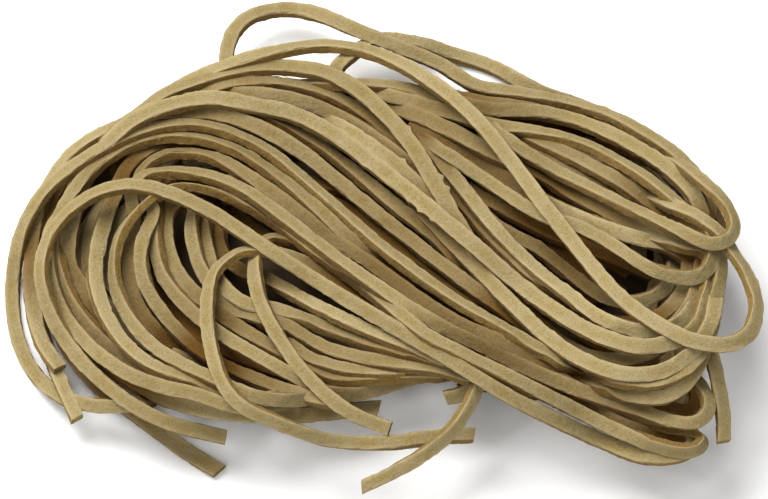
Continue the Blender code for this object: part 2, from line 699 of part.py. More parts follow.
def mound():
    """The low mound inside the windings, as a height map of the plan."""
    plan = HeightMap(PLAN_FIELD)
    ring = heap_ring(np.linspace(0, 1, RING_STEPS), np.ones(RING_STEPS)) - np.array(HEAP_CENTRE)
    angle = np.unwrap(np.arctan2(ring[:, 1], ring[:, 0]))
    order = np.argsort(angle)
    spoke = plan.centres() - np.array(HEAP_CENTRE)
    outer = np.interp(
        np.arctan2(spoke[..., 1], spoke[..., 0]),
        angle[order], np.linalg.norm(ring, axis=1)[order], period=2 * math.pi,
    )
    reach = np.linalg.norm(spoke, axis=-1) / outer / CORE_REACH
    plan.height = CORE_HEIGHT * np.clip(1 - reach ** CORE_SHOULDER, 0, 1) ** CORE_FALL
    return plan


def core_mesh(view):
    """The inside of the heap as one mound with a flat underside, up to the laces that lie on it."""
    half = int(CORE_CELL / GRID / 2)
    rows = range(half, view.height.shape[0] - half, 2 * half)
    columns = range(half, view.height.shape[1] - half, 2 * half)
    high = np.zeros((len(rows), len(columns)))
    for i, row in enumerate(rows):
        for j, column in enumerate(columns):
            window = view.height[row - half:row + half, column - half:column + half]
            high[i, j] = (window.mean() + window.max()) / 2 - CORE_SINK
    seen = view.centres()[np.ix_(rows, columns)]
    plan = to_plan(seen, high)
    keep = high > CORE_EDGE
    mesh = bmesh.new()
    corners = {}

    def corner(i, j, level):
        if (i, j, level) not in corners:
            x, y = plan[i, j] * MM
            corners[i, j, level] = mesh.verts.new((x, y, high[i, j] * MM * level))
        return corners[i, j, level]

    for i in range(len(rows) - 1):
        for j in range(len(columns) - 1):
            square = [(i, j), (i, j + 1), (i + 1, j + 1), (i + 1, j)]
            inside = [at for at in square if keep[at]]
            if len(inside) < 3:
                continue
            for level in (0, 1):
                face = [corner(*at, level) for at in inside]
                mesh.faces.new(face if level else face[::-1])
    for edge in [e for e in mesh.edges if e.is_boundary and e.verts[0].co.z > 0]:
        spots = {vert: at for at, vert in corners.items()}
        first, second = (spots[vert][:2] for vert in edge.verts)
        wall = [corner(*first, 1), corner(*second, 1), corner(*second, 0), corner(*first, 0)]
        mesh.faces.new(wall)
    bmesh.ops.recalc_face_normals(mesh, faces=mesh.faces)
    return mesh


def winding(number):
    """One inner lace: a spiral round the heap that draws in as it goes, with a slow waver."""
    random = np.random.default_rng(SEED + number)
    start, end = WINDINGS[number]
    turn = np.linspace(0, WINDING_TURNS, WINDING_STEPS)
    wander = random.uniform(0, 1, 2)
    reach = np.interp(turn, (0, WINDING_TURNS), (start, end))
    reach = reach * (1 + WINDING_WAVER * np.sin(2 * math.pi * (WAVERS * turn + wander[0])))
    return evenly(heap_ring(turn + wander[1], reach), PATH_STEP)


def seen_from_view(plan):
    """The heap so far, as the height that each line of sight meets first."""
    view = HeightMap(VIEW_FIELD)
    centre = view.centres()
    for level in np.arange(0.0, HIGHEST, LEVEL_STEP):
        ground = to_plan(centre, np.full(centre.shape[:2], level))
        view.height[plan.height[plan.cells(ground)] >= level] = level
    view.height[view.height < LOWEST_SEEN] = 0.0
    return view


def to_plan(seen, height):
    """Where a point seen in the view lies on the plan, if it is this high above the table."""
    x = seen[..., 0] - VIEW_CENTRE[0]
    y = (seen[..., 1] - VIEW_CENTRE[1]) / SIN_VIEW - height * COS_VIEW / SIN_VIEW
    return np.stack([x, y], axis=-1)


def thinned(path):
    """Fewer points along a path: a facet's length apart, and closer in tight turns."""
    along = np.gradient(path[:, :3], axis=0)
    length = np.linalg.norm(along, axis=1)
    along /= length[:, None]
    bend = np.linalg.norm(np.gradient(along, axis=0), axis=1) / length
    window = np.ones(2 * BEND_REACH + 1) / (2 * BEND_REACH + 1)
    bend = np.convolve(np.pad(bend, BEND_REACH, mode="edge"), window, mode="valid")
    step = np.clip(FACET_TURN / np.maximum(bend, STRAIGHT), TIGHT_SEGMENT, SEGMENT)
    facets = np.concatenate([[0], np.cumsum(length[1:] / step[1:])])
    count = max(int(round(facets[-1])), 1)
    at = np.linspace(0, facets[-1], count + 1)
    return np.stack([np.interp(at, facets, column) for column in path.T], axis=1)


def strip_object(name, path, material):
    """A four-sided strip with closed ends along a path, its broad face up, tilted by its slope."""
    path = thinned(path)
    roll = np.arctan(path[:, 3:])
    path = path[:, :3]
    along = np.gradient(path, axis=0)
    along /= np.linalg.norm(along, axis=1)[:, None]
    side = np.cross((0, 0, 1), along)
    side /= np.linalg.norm(side, axis=1)[:, None]
    up = np.cross(along, side)
    side, up = side * np.cos(roll) + up * np.sin(roll), up * np.cos(roll) - side * np.sin(roll)
    mesh = bmesh.new()
    rings = []
    for centre, s, u in zip(path, side, up):
        corners = [
            centre + s * i * LACE_WIDTH / 2 + u * j * LACE_THICKNESS / 2
            for i, j in ((-1, -1), (1, -1), (1, 1), (-1, 1))
        ]
        for corner in corners:
            corner[2] = max(corner[2], 0.0)
        rings.append([mesh.verts.new(corner * MM) for corner in corners])
    mesh.faces.new(rings[0])
    mesh.faces.new(rings[-1][::-1])
    for first, second in zip(rings, rings[1:]):
        for i in range(4):
            j = (i + 1) % 4
            mesh.faces.new((first[i], second[i], second[j], first[j]))
    bmesh.ops.recalc_face_normals(mesh, faces=mesh.faces)
    return new_object(name, mesh, material)


def new_object(name, mesh, material):
    data = bpy.data.meshes.new(name)
    mesh.to_mesh(data)
    mesh.free()
    data.materials.append(material)
    thing = bpy.data.objects.new(name, data)
    bpy.context.scene.collection.objects.link(thing)
    return thing


def lace_curve(labels):
    """One lace's even curve through its runs, and the order of the run at each of its points."""
    points, orders = [], []
    for label in labels:
        order, run = RUNS[label.lstrip("-")]
        run = run[::-1] if label.startswith("-") else run
        if points and math.dist(points[-1], run[0]) < SHARED_GAP:
            run = run[1:]
        points += run
        orders += [order] * len(run)
    curve = evenly(smooth_curve(points, CURVE_STEP), PATH_STEP)
    place = place_along(curve)
    nearest = [place[np.linalg.norm(curve - point, axis=1).argmin()] for point in points]
    index = np.searchsorted(np.maximum.accumulate(nearest), place, side="left")
    return curve, np.array(orders)[index.clip(0, len(orders) - 1)]


def stretches(values):
    """Where each stretch of equal values starts and ends."""
    starts = [0] + [i for i in range(1, len(values)) if values[i] != values[i - 1]]
    return list(zip(starts, starts[1:] + [len(values)]))


def laid_bundle():
    """The core, and the path of every lace that shows, in plan millimetres, height and slope."""
    plan = mound()
    paths = []
    for number in range(len(WINDINGS)):
        curve = winding(number)
        path = np.column_stack([curve, plan.lay(curve, LAY_STEP)])
        if number < SHOWN_WINDINGS:
            paths.append(path)
    view = seen_from_view(plan)
    curves = [lace_curve(labels) for labels in LACES]
    laid = [np.zeros((len(curve), 2)) for curve, orders in curves]
    spans = [
        (int(orders[start]), number, start, end)
        for number, (curve, orders) in enumerate(curves) for start, end in stretches(orders)
    ]
    core = None
    for order, number, start, end in sorted(spans):
        deep = order < DEEP_ORDER
        if not deep and core is None:
            core = core_mesh(view)
        start = max(start - (1 if deep else OVERRUN), 0)
        end = end + (1 if deep else OVERRUN)
        rest = view.lay(curves[number][0][start:end], DEEP_STEP if deep else LAY_STEP)
        known = laid[number][start:end]
        laid[number][start:end] = np.where(known[:, :1] > rest[:, :1], known, rest)
    for (curve, orders), rest in zip(curves, laid):
        place = place_along(curve)
        height = sagged(place, rest[:, 0], DIVE_RADIUS)
        slope = blurred(place, rest[:, 1], TILT_REACH)
        path = np.column_stack([to_plan(curve, height), height, slope])
        for start, end in stretches(orders >= DEEP_ORDER):
            if orders[start] >= DEEP_ORDER:
                paths.append(path[max(start - OVERRUN, 0):end + OVERRUN])
    return core, paths


def fuse(core, strips):
    """Joins the strips to the core in one Boolean union and keeps the one large body."""
    group = bpy.data.collections.new("strips")
    bpy.context.scene.collection.children.link(group)
    for strip in strips:
        bpy.context.scene.collection.objects.unlink(strip)
        group.objects.link(strip)
    union = core.modifiers.new("fused", "BOOLEAN")
    union.operation = "UNION"
    union.operand_type = "COLLECTION"
    union.collection = group
    union.solver = "MANIFOLD"
    bpy.context.view_layer.objects.active = core
    core.select_set(True)
    bpy.ops.object.modifier_apply(modifier=union.name)
    for strip in strips:
        bpy.data.objects.remove(strip, do_unlink=True)
    bpy.data.collections.remove(group)


def islands(mesh):
    """The separate closed surfaces of a mesh, as lists of faces."""
    left = set(mesh.faces)
    found = []
    while left:
        start = left.pop()
        front, island = [start], [start]
        while front:
            face = front.pop()
            for edge in face.edges:
                for other in edge.link_faces:
                    if other in left:
                        left.discard(other)
                        front.append(other)
                        island.append(other)
        found.append(island)
    return found


def keep_outer_surface(thing):
    """Fills sealed hollows and drops loose scraps: only the largest closed surface stays."""
    mesh = bmesh.new()
    mesh.from_mesh(thing.data)
    pieces = sorted(islands(mesh), key=len)
    for island in pieces[:-1]:
        bmesh.ops.delete(mesh, geom=island, context="FACES")
    bmesh.ops.triangulate(mesh, faces=mesh.faces)
    mesh.to_mesh(thing.data)
    mesh.free()


def main():
    clear_scene()
    material = suede()
    heap, paths = laid_bundle()
    core = new_object("lace_bundle", heap, material)
    strips = [strip_object(f"strip_{i}", path, material) for i, path in enumerate(paths)]
    fuse(core, strips)
    keep_outer_surface(core)
    low = np.array([v.co for v in core.data.vertices]).min(axis=0)
    high = np.array([v.co for v in core.data.vertices]).max(axis=0)
    print("box in mm", np.round(low / MM, 2), np.round(high / MM, 2))
    print("triangles", len(core.data.polygons))


main()
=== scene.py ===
# A loose skein of natural suede laces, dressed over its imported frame.
# Lengths in the dictionaries are millimetres unless a line says otherwise; meshes are in metres.
import math

import bpy
import numpy as np
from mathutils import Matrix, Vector


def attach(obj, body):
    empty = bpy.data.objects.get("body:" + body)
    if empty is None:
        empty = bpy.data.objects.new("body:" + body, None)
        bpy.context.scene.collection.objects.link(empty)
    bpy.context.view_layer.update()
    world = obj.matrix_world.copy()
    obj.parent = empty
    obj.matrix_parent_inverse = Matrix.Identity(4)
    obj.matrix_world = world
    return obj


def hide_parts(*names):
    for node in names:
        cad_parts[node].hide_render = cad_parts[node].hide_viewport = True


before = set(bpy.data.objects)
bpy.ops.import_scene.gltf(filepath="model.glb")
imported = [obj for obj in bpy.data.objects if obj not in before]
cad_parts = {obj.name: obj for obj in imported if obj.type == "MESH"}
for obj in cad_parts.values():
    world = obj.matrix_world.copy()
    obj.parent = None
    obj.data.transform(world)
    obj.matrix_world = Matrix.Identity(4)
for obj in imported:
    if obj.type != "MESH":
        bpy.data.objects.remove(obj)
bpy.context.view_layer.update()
mm = 0.001

# How the bundle is seen: the laces' points below are millimetres across and up this view
view = {
    "elevation": 60.0,  # degrees above the table
    "distance": 5000.0,
    "centre": (96.1, 60.5),  # the point of the view that lies over the bundle's origin
    "frameWidth": 192.0,
    "frameMiddle": (96.0, 62.375),
    "sensor": 36.0,
    "clip": (0.05, 20),  # metres
}
viewField = ((-6, -6), (198, 132))  # corners of the height map that is seen from the camera's side
planField = ((-105, -80), (105, 80))  # corners of the height map of the plan
sinView = math.sin(math.radians(view["elevation"]))
cosView = math.cos(math.radians(view["elevation"]))

lace = {
    "width": 3.5,
    "thickness": 2.2,
    "corner": 0.4,
    "cornerTurns": (0, 30, 60, 90),  # degrees
    "faceSplit": 0.34,  # where the broad face is divided, over half the width
    "ringStep": 0.6,
    "curveStep": 1.0,
    "widths": (0.95, 1.08),  # how wide one lace may be, as a share
    "wideOnes": {
        "lace_2": 1.18, "lace_16": 1.18, "lace_7": 1.12,
        "lace_3": 1.08, "lace_17": 1.1, "lace_20": 1.1,
    },
    "widthChange": 0.025,  # how far the width wanders, as a share
    "widthWave": 17.0,
    "thicknessChange": 0.06,
    "thicknessWave": 11.0,
    "ragged": 0.12,  # how far the cut edges stray
    "strayWaves": ((3.1, 0.6), (1.2, 0.5)),  # length and share of each
    "strayLeast": 0.3,  # share of it that the faces have too
    "strayUp": 0.6,
    "slant": 0.4,  # how far from square an end may be cut
    "slantReach": 2.4,
    "tilt": 0.7,  # how much of the slope under it a lace takes on
    "mostTilt": 0.55,
    "tiltReach": 12.0,
    "overrun": 4,  # how far a run goes on under the next before the lace dives
    "rollChange": 0.045,  # radians
    "rollWave": 24.0,
    "slowRoll": 0.22,
    "slowRollWave": 75.0,
    "bank": 12.0,  # roll at a bend, over the bend in radians a millimetre
    "bankShares": (0.3, 1.2),
    "bendReach": 20,  # points on either side that a bend is measured over
    "mostBank": 0.65,
    "banks": {"lace_1": 0.1, "lace_2": -0.15, "lace_3": 0.5},  # laces that lie flatter in their bends
    "layStep": 2.02,  # height that a lace adds to what it crosses
    "deepStep": 1.4,  # the same for laces pressed together inside the heap
    "bendRadius": 32.0,
    "smoothReach": 3.5,  # length over which a lace evens out its height
    "lastReach": 1.5,  # the same once it has sunk under others
    "risePoints": 3,  # points on either side that its rise is evened over
    "lowest": 0.02,
    "diveRadius": 9.0,  # how fast a lace sinks where it goes under others
    "seed": 21,
}

heap = {
    "centre": (-3.0, -9.0),
    "outline": [
        (-86, -12), (-83, 10), (-63, 27), (-30, 38), (8, 40), (44, 36), (74, 23), (84, 2),
        (81, -25), (79, -47), (68, -53), (52, -47), (26, -31), (12, -33), (-3, -35.5), (-22, -42),
        (-50, -41), (-72, -30),
    ],
    "windings": [(1.00, 0.86), (0.95, 0.80), (0.90, 0.76)],
    "turns": 2.2,
    "windingSteps": 400,
    "waver": 0.012,  # how far a winding wavers, as a share
    "wavers": 3,  # in one turn
    "outlineStep": 2.0,
    "mostHeight": 30.0,  # the windings are looked for up to this, a level step at a time
    "levelStep": 0.25,
    "leastSeen": 0.3,
    "coreReach": 0.90,
    "coreHeight": 8.5,
    "coreShoulder": 2.6,  # powers of the mound's formula
    "coreCrown": 0.6,
    "coreCell": 3.0,
    "coreSink": 3.2,
    "coreFrom": 1.0,  # the core fills only where the heap is higher than this
    "coreLeast": 0.6,
    "coreEdge": 8.0,  # the core stays about half this far inside the heap
    "coreCover": 0.85,  # how much of that surround has to be filled
    "coreFoot": 0.05,
    "seed": 7,
}
deepOrder = 9  # runs under this one lie inside the heap
joinReach = 2.5  # a run that starts this near to the last point leaves its own first point out
cell = 0.5  # of the height maps
fineStep = 0.7  # of a cell, between the points that mark a lace on a height map
# Where across its width a lace meets what is below it, and what is above it and how far it keeps off
below = {"reach": 0.48, "count": 11}
above = {"reach": 0.6, "count": 9, "gap": 1.3}
tuftLength = 0.7
# Frayed tufts on the cut edges: where in the view, and how far out, to the left if positive
tufts = {
    "lace_2": [(103.8, 93.2, 0.5), (110.6, 80.0, 0.9), (112.3, 77.4, 0.8)],
    "lace_4": [(100.5, 84.0, 0.7)],
    "lace_16": [(102.6, 74.0, -0.4), (105.2, 71.6, -0.6), (107.6, 69.0, -0.4)],
}

# The runs of lace: label, order from the lowest up, and the points that each passes through
runs = {
    "U": (42, [
        (56.5, 15.3), (50, 16.9), (44, 18.4), (35, 22.4), (27, 28.2), (19.5, 35.8), (13.3, 45.5),
        (10.4, 57), (13.3, 67), (22, 75.2), (32, 78.2), (42, 76.4), (52, 72), (67, 62.4),
        (82, 52.8), (97, 43.9), (112, 35), (127, 25.8), (142, 18.3), (152, 13.8), (161, 10.6),
        (168, 10.6)
    ]),
    "L7": (50, [
        (60, 109.3), (70, 111.8), (80, 113.2), (90, 112.2), (100, 108.7), (110, 102.6), (119, 95),
        (126, 86.7), (132, 79), (138, 71), (146, 60.7), (154, 51.4), (163, 44.4), (173, 39.7),
        (182, 38.7), (187.2, 41.5), (189, 47.5)
    ]),
    "L7e": (39, [
        (189, 47.5), (188.3, 52), (186, 57.2), (183, 61.6), (179.5, 66.5)
    ]),
    "arc1": (14, [
        (56.7, 108), (56.8, 112), (58.3, 116.3), (61.3, 119.6), (65.5, 121.5), (72, 122.3),
        (80, 120.9), (90, 116.9), (100, 112.9), (110, 108.6), (119, 103.2), (130, 101.2),
        (138, 99.8), (150, 96.6), (160, 91.9), (170, 84.9), (176.6, 76), (177.3, 72), (175.8, 69),
        (172.5, 67.2)
    ]),
    "arc3": (10, [
        (84.7, 108.3), (87.5, 110.6), (91, 113.2), (95.5, 114.9), (104, 114), (113, 111.2),
        (123, 108), (133, 102.8), (137, 101)
    ]),
    "SH": (45, [
        (34, 95.5), (41, 100.8), (51, 104.6), (61, 107.2), (71, 107.8), (81, 106.5), (89, 102.5),
        (96.5, 96), (103.3, 88), (108.5, 79.3), (113, 71.2), (115.5, 67.3)
    ]),
    "Q": (47, [
        (34, 94.8), (43, 98.3), (53, 100), (63, 98.4), (73, 96.2), (83, 91.3), (93, 84),
        (105, 74.6), (117, 64.7), (129, 54.1), (141, 45.5), (150, 40.7), (160, 38), (168, 39.2)
    ]),
    "W1": (36, [
        (105, 72), (113, 64), (125, 51.6), (137, 40.2), (145, 35), (155, 31.4), (165, 31.8),
        (172.5, 36.2), (175, 39.5)
    ]),
    "W2": (35, [
        (150, 30.5), (157, 29.3), (164, 29.3), (171, 32), (174, 34.8), (176, 38)
    ]),
    "W3": (34, [
        (147, 29), (157, 26), (165, 25.3), (170, 27.4), (172.7, 30.3), (174.5, 33.5)
    ]),
    "N1": (29, [
        (50, 101.5), (60, 103.8), (70, 103.8), (80, 101.6), (90, 96.8), (99, 89.7), (103, 85.8)
    ]),
    "K": (29, [
        (110, 80), (116, 73), (122, 66), (130, 58), (134, 54.7)
    ]),
    "N2": (30, [
        (58, 100.8), (68, 100.7), (78, 98.4), (88, 93.9), (98, 87.5), (102, 84)
    ]),
    "N3": (31, [
        (82, 94.5), (90, 90.3), (98, 84.6), (106, 77.8), (110, 74.3)
    ]),
    "O": (27, [
        (62, 95.9), (70, 93.5), (80, 88), (90, 80.5), (100, 72.2), (108, 66), (115, 59)
    ]),
    "P": (30, [
        (15, 32.6), (11.6, 37), (8.8, 44.5), (7.6, 54.5), (8.7, 66), (11.5, 76.5), (17, 85.2),
        (25, 91.1), (35, 94.7), (45, 96), (55, 95.8), (65, 92.6), (75, 86.9), (85, 78.9),
        (95, 70.6), (105, 62.7), (115, 55), (125, 47.7), (133, 42)
    ]),
    "E2b": (28, [
        (13.5, 33), (15, 29.5), (16.8, 25.5), (19.3, 20)
    ]),
    "E1": (26, [
        (36, 24.3), (31, 23.4), (26, 23.3), (21, 23.9), (16, 25.2), (9, 31), (4.5, 40), (3.1, 51),
        (4.6, 63.5), (6.5, 69)
    ]),
    "R1": (34, [
        (6.5, 69), (11.5, 76.8), (19, 83.4), (27, 88.2), (36, 92), (46, 93.6), (55, 92.3),
        (65, 88), (75, 80.5), (85, 71.8), (95, 63.2), (105, 55.6), (115, 48.8), (125, 43),
        (138, 35.3), (141.5, 33.2)
    ]),
    "R2x": (28, [
        (94, 61.2), (87, 65.5), (82, 70)
    ]),
    "R2": (33, [
        (82, 70), (79, 72.6), (70, 79.9), (60, 86.5), (50, 89.9), (40, 90.2), (30, 87),
        (20.5, 79.5), (14.5, 70), (12.5, 66)
    ]),
    "f3": (27, [
        (12.5, 66), (12.6, 56), (16, 46.5), (22.5, 38.3), (31, 32), (40, 28.3), (50, 26),
        (59, 23.2)
    ]),
    "J": (24, [
        (40, 88), (36.5, 86.6), (32, 82.8), (28.5, 75.5), (24.8, 65), (23.9, 55), (26.5, 45.8),
        (32.3, 37.5), (40.5, 32), (50, 29), (57, 25.8), (61, 24.6)
    ]),
    "g0": (22, [
        (23.3, 57), (24, 52), (28, 42), (35, 34.7), (44, 29.5), (54, 26.8)
    ]),
    "S": (31, [
        (35.2, 80.5), (36.8, 83), (39.5, 85), (43, 86.2), (53, 85.3), (63, 80), (73, 72.9),
        (83, 65.3), (93, 58.6), (103, 51.3), (113, 44.8), (122, 40.6)
    ]),
    "T": (32, [
        (36, 80.5), (40, 81.5), (50, 81), (60, 77.6), (70, 70.8), (80, 63.1), (90, 55.9),
        (100, 49.2), (110, 43.4), (120, 38.5), (135, 31.3), (150, 25.3), (160, 21.8), (168, 19.5),
        (173.5, 19.1), (176.7, 21.4), (177, 24.5), (175.5, 27.5), (173.3, 30)
    ]),
    "Ti": (20, [
        (168, 22.3), (172.5, 22.3), (174, 24.5), (173.8, 27), (172.5, 29)
    ]),
    "TV": (28, [
        (78, 62.3), (73, 66), (63, 72.6), (53, 76.9), (43, 77.6), (35, 72.3), (30, 65.3),
        (28.6, 56), (31.6, 46.6), (38.3, 38.3), (46.5, 33), (54, 29.6), (60, 26.8), (64, 25.6)
    ]),
    "V": (44, [
        (108, 40), (112, 38), (122, 33), (132, 28.2), (142, 23.2), (152, 18.2), (162, 14.2),
        (170, 12.2)
    ]),
    "Ve": (31, [
        (170, 12.2), (174, 12.6), (175.8, 14.8), (173.4, 16.4), (167, 17.6)
    ]),
    "V2": (30, [
        (150, 21.5), (155, 19), (160, 17.2), (167, 15.6), (174, 16)
    ]),
    "H": (25, [
        (17.5, 37), (25, 28), (34, 21.3), (46, 12.3), (54.8, 6.9)
    ]),
    "L1": (36, [
        (65, 62), (60, 61.5), (56, 59), (53.3, 55.5), (51.8, 45), (54.2, 33), (57, 27.3),
        (61, 23.2), (67.4, 20), (79.6, 15.3), (86, 14.3), (96, 14), (112, 15.7), (118.6, 15.9)
    ]),
    "L2": (35, [
        (65, 63), (63.8, 58), (65, 50), (70, 40), (77.5, 30), (87, 22), (97.5, 17.5)
    ]),
    "c1": (19, [
        (22.5, 37.5), (30, 31), (40, 25.6), (50, 22.5), (60, 21.2), (75, 21), (85, 22),
        (94.8, 22.6)
    ]),
    "L4": (20, [
        (111.3, 25.3), (115, 26.2), (117.5, 28.5), (117, 32)
    ]),
    "L5": (40, [
        (120.5, 31), (118, 25), (113.5, 18), (107, 12), (98, 6.5), (90.5, 3)
    ]),
    "L6": (30, [
        (180.9, 14.3), (180.8, 20), (179, 31.5), (177.3, 38.5), (178, 46), (179.9, 57),
        (179.5, 64)
    ]),
    "a1": (25, [
        (66, 55.3), (75, 50.2), (85, 45.3), (95, 40.8), (105, 37.2), (112, 34.6)
    ]),
    "a2": (24, [
        (62, 48.5), (68, 47.4), (76, 44.8), (85, 41.4), (95, 38.3), (105, 35.8), (112, 33.9)
    ]),
    "a3": (23, [
        (71, 43.5), (80, 38.2), (90, 35.1), (100, 33.6), (110, 32.4), (118, 29.8)
    ]),
    "a4": (22, [
        (72, 38.8), (78, 34.8), (88, 32), (94, 31.5), (101, 31.6)
    ]),
    "a5": (21, [
        (71, 36), (76, 33.8), (83, 30.1), (93, 30), (104, 30.9), (112, 31)
    ]),
    "a6": (20, [
        (74, 30.6), (80, 27.3), (88, 26.4), (93, 27.2), (103, 30.2), (110, 31.5)
    ]),
    "f1": (22, [
        (18, 69), (17.2, 59), (21.3, 51.8), (25, 46.6)
    ]),
    "f2": (23, [
        (14.5, 61), (15.5, 55.5), (19.6, 47), (25.5, 40), (33, 34), (42, 29.2)
    ]),
    "g3": (20, [
        (34, 71), (32, 58.5), (34.7, 48), (41, 40)
    ]),
    "g4": (22, [
        (38.5, 72), (35.4, 63), (36.3, 54), (41, 46), (47.2, 39), (54, 34.2), (62, 30.5),
        (70, 27.6), (79.5, 24.8), (84, 24.2)
    ]),
    "g5": (21, [
        (39.8, 72), (38.9, 65.5), (40.9, 56), (47, 48), (54, 42), (62, 37), (70, 32.5)
    ]),
    "g5b": (15, [
        (46, 44), (54, 38.3), (63, 34), (69, 31.6)
    ]),
    "g6": (20, [
        (42.4, 72), (41.6, 65.5), (44.3, 57), (51, 49.3), (59, 43.2), (67, 38.3)
    ]),
    "g7": (19, [
        (48.7, 72), (48.1, 66.5), (50.2, 58), (53.5, 52.5), (58, 48)
    ]),
    "g8": (17, [
        (51.5, 71), (51.3, 65), (53.5, 57), (57.5, 51.5), (62, 48.5)
    ]),
    "g9": (14, [
        (55, 69), (55.2, 64), (56.7, 60), (61, 56.8), (66, 55.3)
    ]),
    "d1": (11, [
        (65, 63), (67.5, 65), (72, 64.5), (80, 60.5), (88, 55)
    ]),
    "d2": (12, [
        (65, 62), (69, 61.5), (75, 59.5), (85, 54), (92, 50)
    ]),
    "M1": (16, [
        (88, 103.6), (98, 103), (110, 100.2), (122, 97.4), (135, 96.5), (147, 93.5), (157, 89),
        (166, 83.3), (173, 76.5), (175, 72.5)
    ]),
    "M2": (17, [
        (97, 100.7), (110, 97.2), (123, 93.4), (135, 91.5), (145, 88.8), (155, 84.1), (165, 77.4),
        (174.5, 68.5)
    ]),
    "M3": (18, [
        (101, 97), (110, 93.2), (120, 88.1), (127, 84.6), (134, 81.8), (142, 76.7), (152, 71.6),
        (162, 66.9), (171, 63.3), (176, 62)
    ]),
    "B7": (14, [
        (134, 89.5), (145, 84.5), (155, 79), (164, 72.8), (169, 69.5)
    ]),
    "B8": (12, [
        (134, 86.3), (143, 82.8), (153, 77.2), (163, 72)
    ]),
    "B2": (41, [
        (121, 93.7), (125, 91), (131, 86.7), (140, 81.4), (150, 76.4), (160, 71.4), (170, 66.9),
        (178, 63.9), (182, 65), (183.4, 67.8), (182.5, 71.3)
    ]),
    "B2e": (13, [
        (182.5, 71.3), (180, 75.2), (176, 79)
    ]),
    "M5": (38, [
        (108, 88.5), (118, 82), (128, 75.4), (138, 69.8), (143, 68.8), (152, 64.2), (162, 58),
        (167, 56.1), (171, 55.4), (175, 56), (177.3, 58.2), (178.1, 62)
    ]),
    "M6": (12, [
        (102, 93), (112, 88), (118, 85), (124, 81.5), (132, 76.5)
    ]),
    "D2": (37, [
        (106, 90), (111.5, 82.8), (118.5, 74), (126, 65), (134, 57.2), (142, 51), (150, 45.3),
        (158, 42.6), (165, 42.4)
    ]),
    "M7": (33, [
        (122, 70), (126, 67), (134, 62.8), (143, 55.8), (148, 52.3), (153, 50), (158, 49.3),
        (162, 50), (165.5, 52.3), (167.5, 56)
    ]),
    "M8": (24, [
        (164.5, 45.3), (168, 48), (170.7, 51.8), (172, 57)
    ]),
    "M9": (25, [
        (169, 43.5), (172, 47.2), (174, 51.5), (175, 57)
    ]),
    "under1": (12, [
        (99, 101.5), (107, 101.8), (115, 100.3), (123, 98.8), (131, 97.8), (140, 95.5), (150, 92)
    ]),
    "under2": (12, [
        (150, 90), (158, 86.5), (166, 82.5), (172, 78.5), (177, 73.5), (180, 68), (180.5, 62),
        (178, 56)
    ]),
    "deep1": (6, [
        (112, 86), (119, 80.5), (126, 75), (133, 69), (140, 62.5), (147, 56.5), (156, 51)
    ]),
    "deep2": (5, [
        (113, 79), (119, 74), (126, 68), (133, 61), (141, 54.5), (150, 49.5)
    ]),
    "deep3": (4, [
        (124, 82), (130, 77.5), (136, 72.5), (143, 66), (150, 60), (158, 56)
    ]),
    "deep4": (5, [
        (44, 78), (50, 76), (57, 72), (64, 67), (72, 61), (81, 55), (90, 50)
    ]),
    "deep5": (6, [
        (53, 82), (60, 79), (67, 74), (75, 67.5), (84, 61.5), (94, 56)
    ]),
    "deep6": (10, [
        (117, 77.5), (119.5, 75.8), (127.5, 71.3), (136.3, 66.8), (145, 63.3), (155, 59.3),
        (163, 56)
    ]),
    "SHl": (9, [
        (34, 95.5), (26, 90.5), (18, 82), (13, 72), (11.3, 62), (12.3, 51), (15, 42.5), (17.5, 37)
    ]),
    "Ql": (9, [
        (34, 94.8), (27, 88.5), (21, 79), (18, 69)
    ]),
    "N1l": (8, [
        (50, 101.5), (40, 97), (30, 90.5), (21.5, 81.5), (16, 71), (14.5, 61)
    ]),
    "N2l": (7, [
        (58, 100.8), (48, 97.5), (38, 91), (29.5, 82), (25, 71), (23.3, 57)
    ]),
    "Ol": (6, [
        (62, 95.9), (54, 94), (47, 88), (42.5, 80), (39.8, 72)
    ]),
    "Sl": (16, [
        (35.2, 80.5), (36, 76.5), (38.5, 72)
    ]),
    "Tl": (17, [
        (36, 80.5), (33.6, 77.5), (33.3, 74), (34, 71)
    ]),
    "Ur": (9, [
        (168, 10.6), (172, 12), (173.6, 15), (171, 18), (163, 21), (150, 26), (138, 32), (126, 40),
        (114, 49), (102, 58), (90, 66), (78, 73), (66, 78), (56, 79), (48, 76.5), (42.4, 72)
    ]),
    "g6a": (19, [
        (67, 38.3), (71, 36)
    ]),
    "g5a": (19, [
        (70, 32.5), (74, 30.6)
    ]),
    "g7a": (18, [
        (58, 48), (64, 45.5), (71, 43.5)
    ]),
    "a5r": (8, [
        (112, 31), (122, 30), (135, 26.5), (150, 21.5)
    ]),
    "d2r": (7, [
        (92, 50), (104, 43), (118, 36.5), (134, 29), (144, 24.5)
    ]),
    "TVV": (29, [
        (78, 62.3), (88, 55.2), (98, 47.6), (108, 40)
    ]),
    "Vr": (9, [
        (167, 17.6), (155, 22.5), (140, 30), (130, 37), (122, 40.5)
    ]),
    "Tr": (8, [
        (173.3, 30), (170, 31.5), (160, 34), (148, 39), (135, 48), (122, 58), (110, 66.5),
        (98, 72), (85, 77), (72, 80), (60, 78.5), (52, 76), (48.7, 72)
    ]),
    "L4u": (8, [
        (117, 32), (116, 36), (110, 42), (100, 50), (90, 58), (80, 65), (70, 71), (60, 75),
        (54, 75), (51.5, 71)
    ]),
    "L5u": (8, [
        (120.5, 31), (123, 37), (121, 45), (112, 54), (100, 63), (88, 71), (76, 77), (64, 79),
        (57, 75), (55, 69)
    ]),
    "a2r": (8, [
        (112, 33.9), (124, 32.5), (136, 30.5), (147, 29)
    ]),
    "a1r": (8, [
        (112, 34.6), (124, 34.5), (136, 33), (148, 30), (160, 25.5), (168, 22.3)
    ]),
    "d1r": (8, [
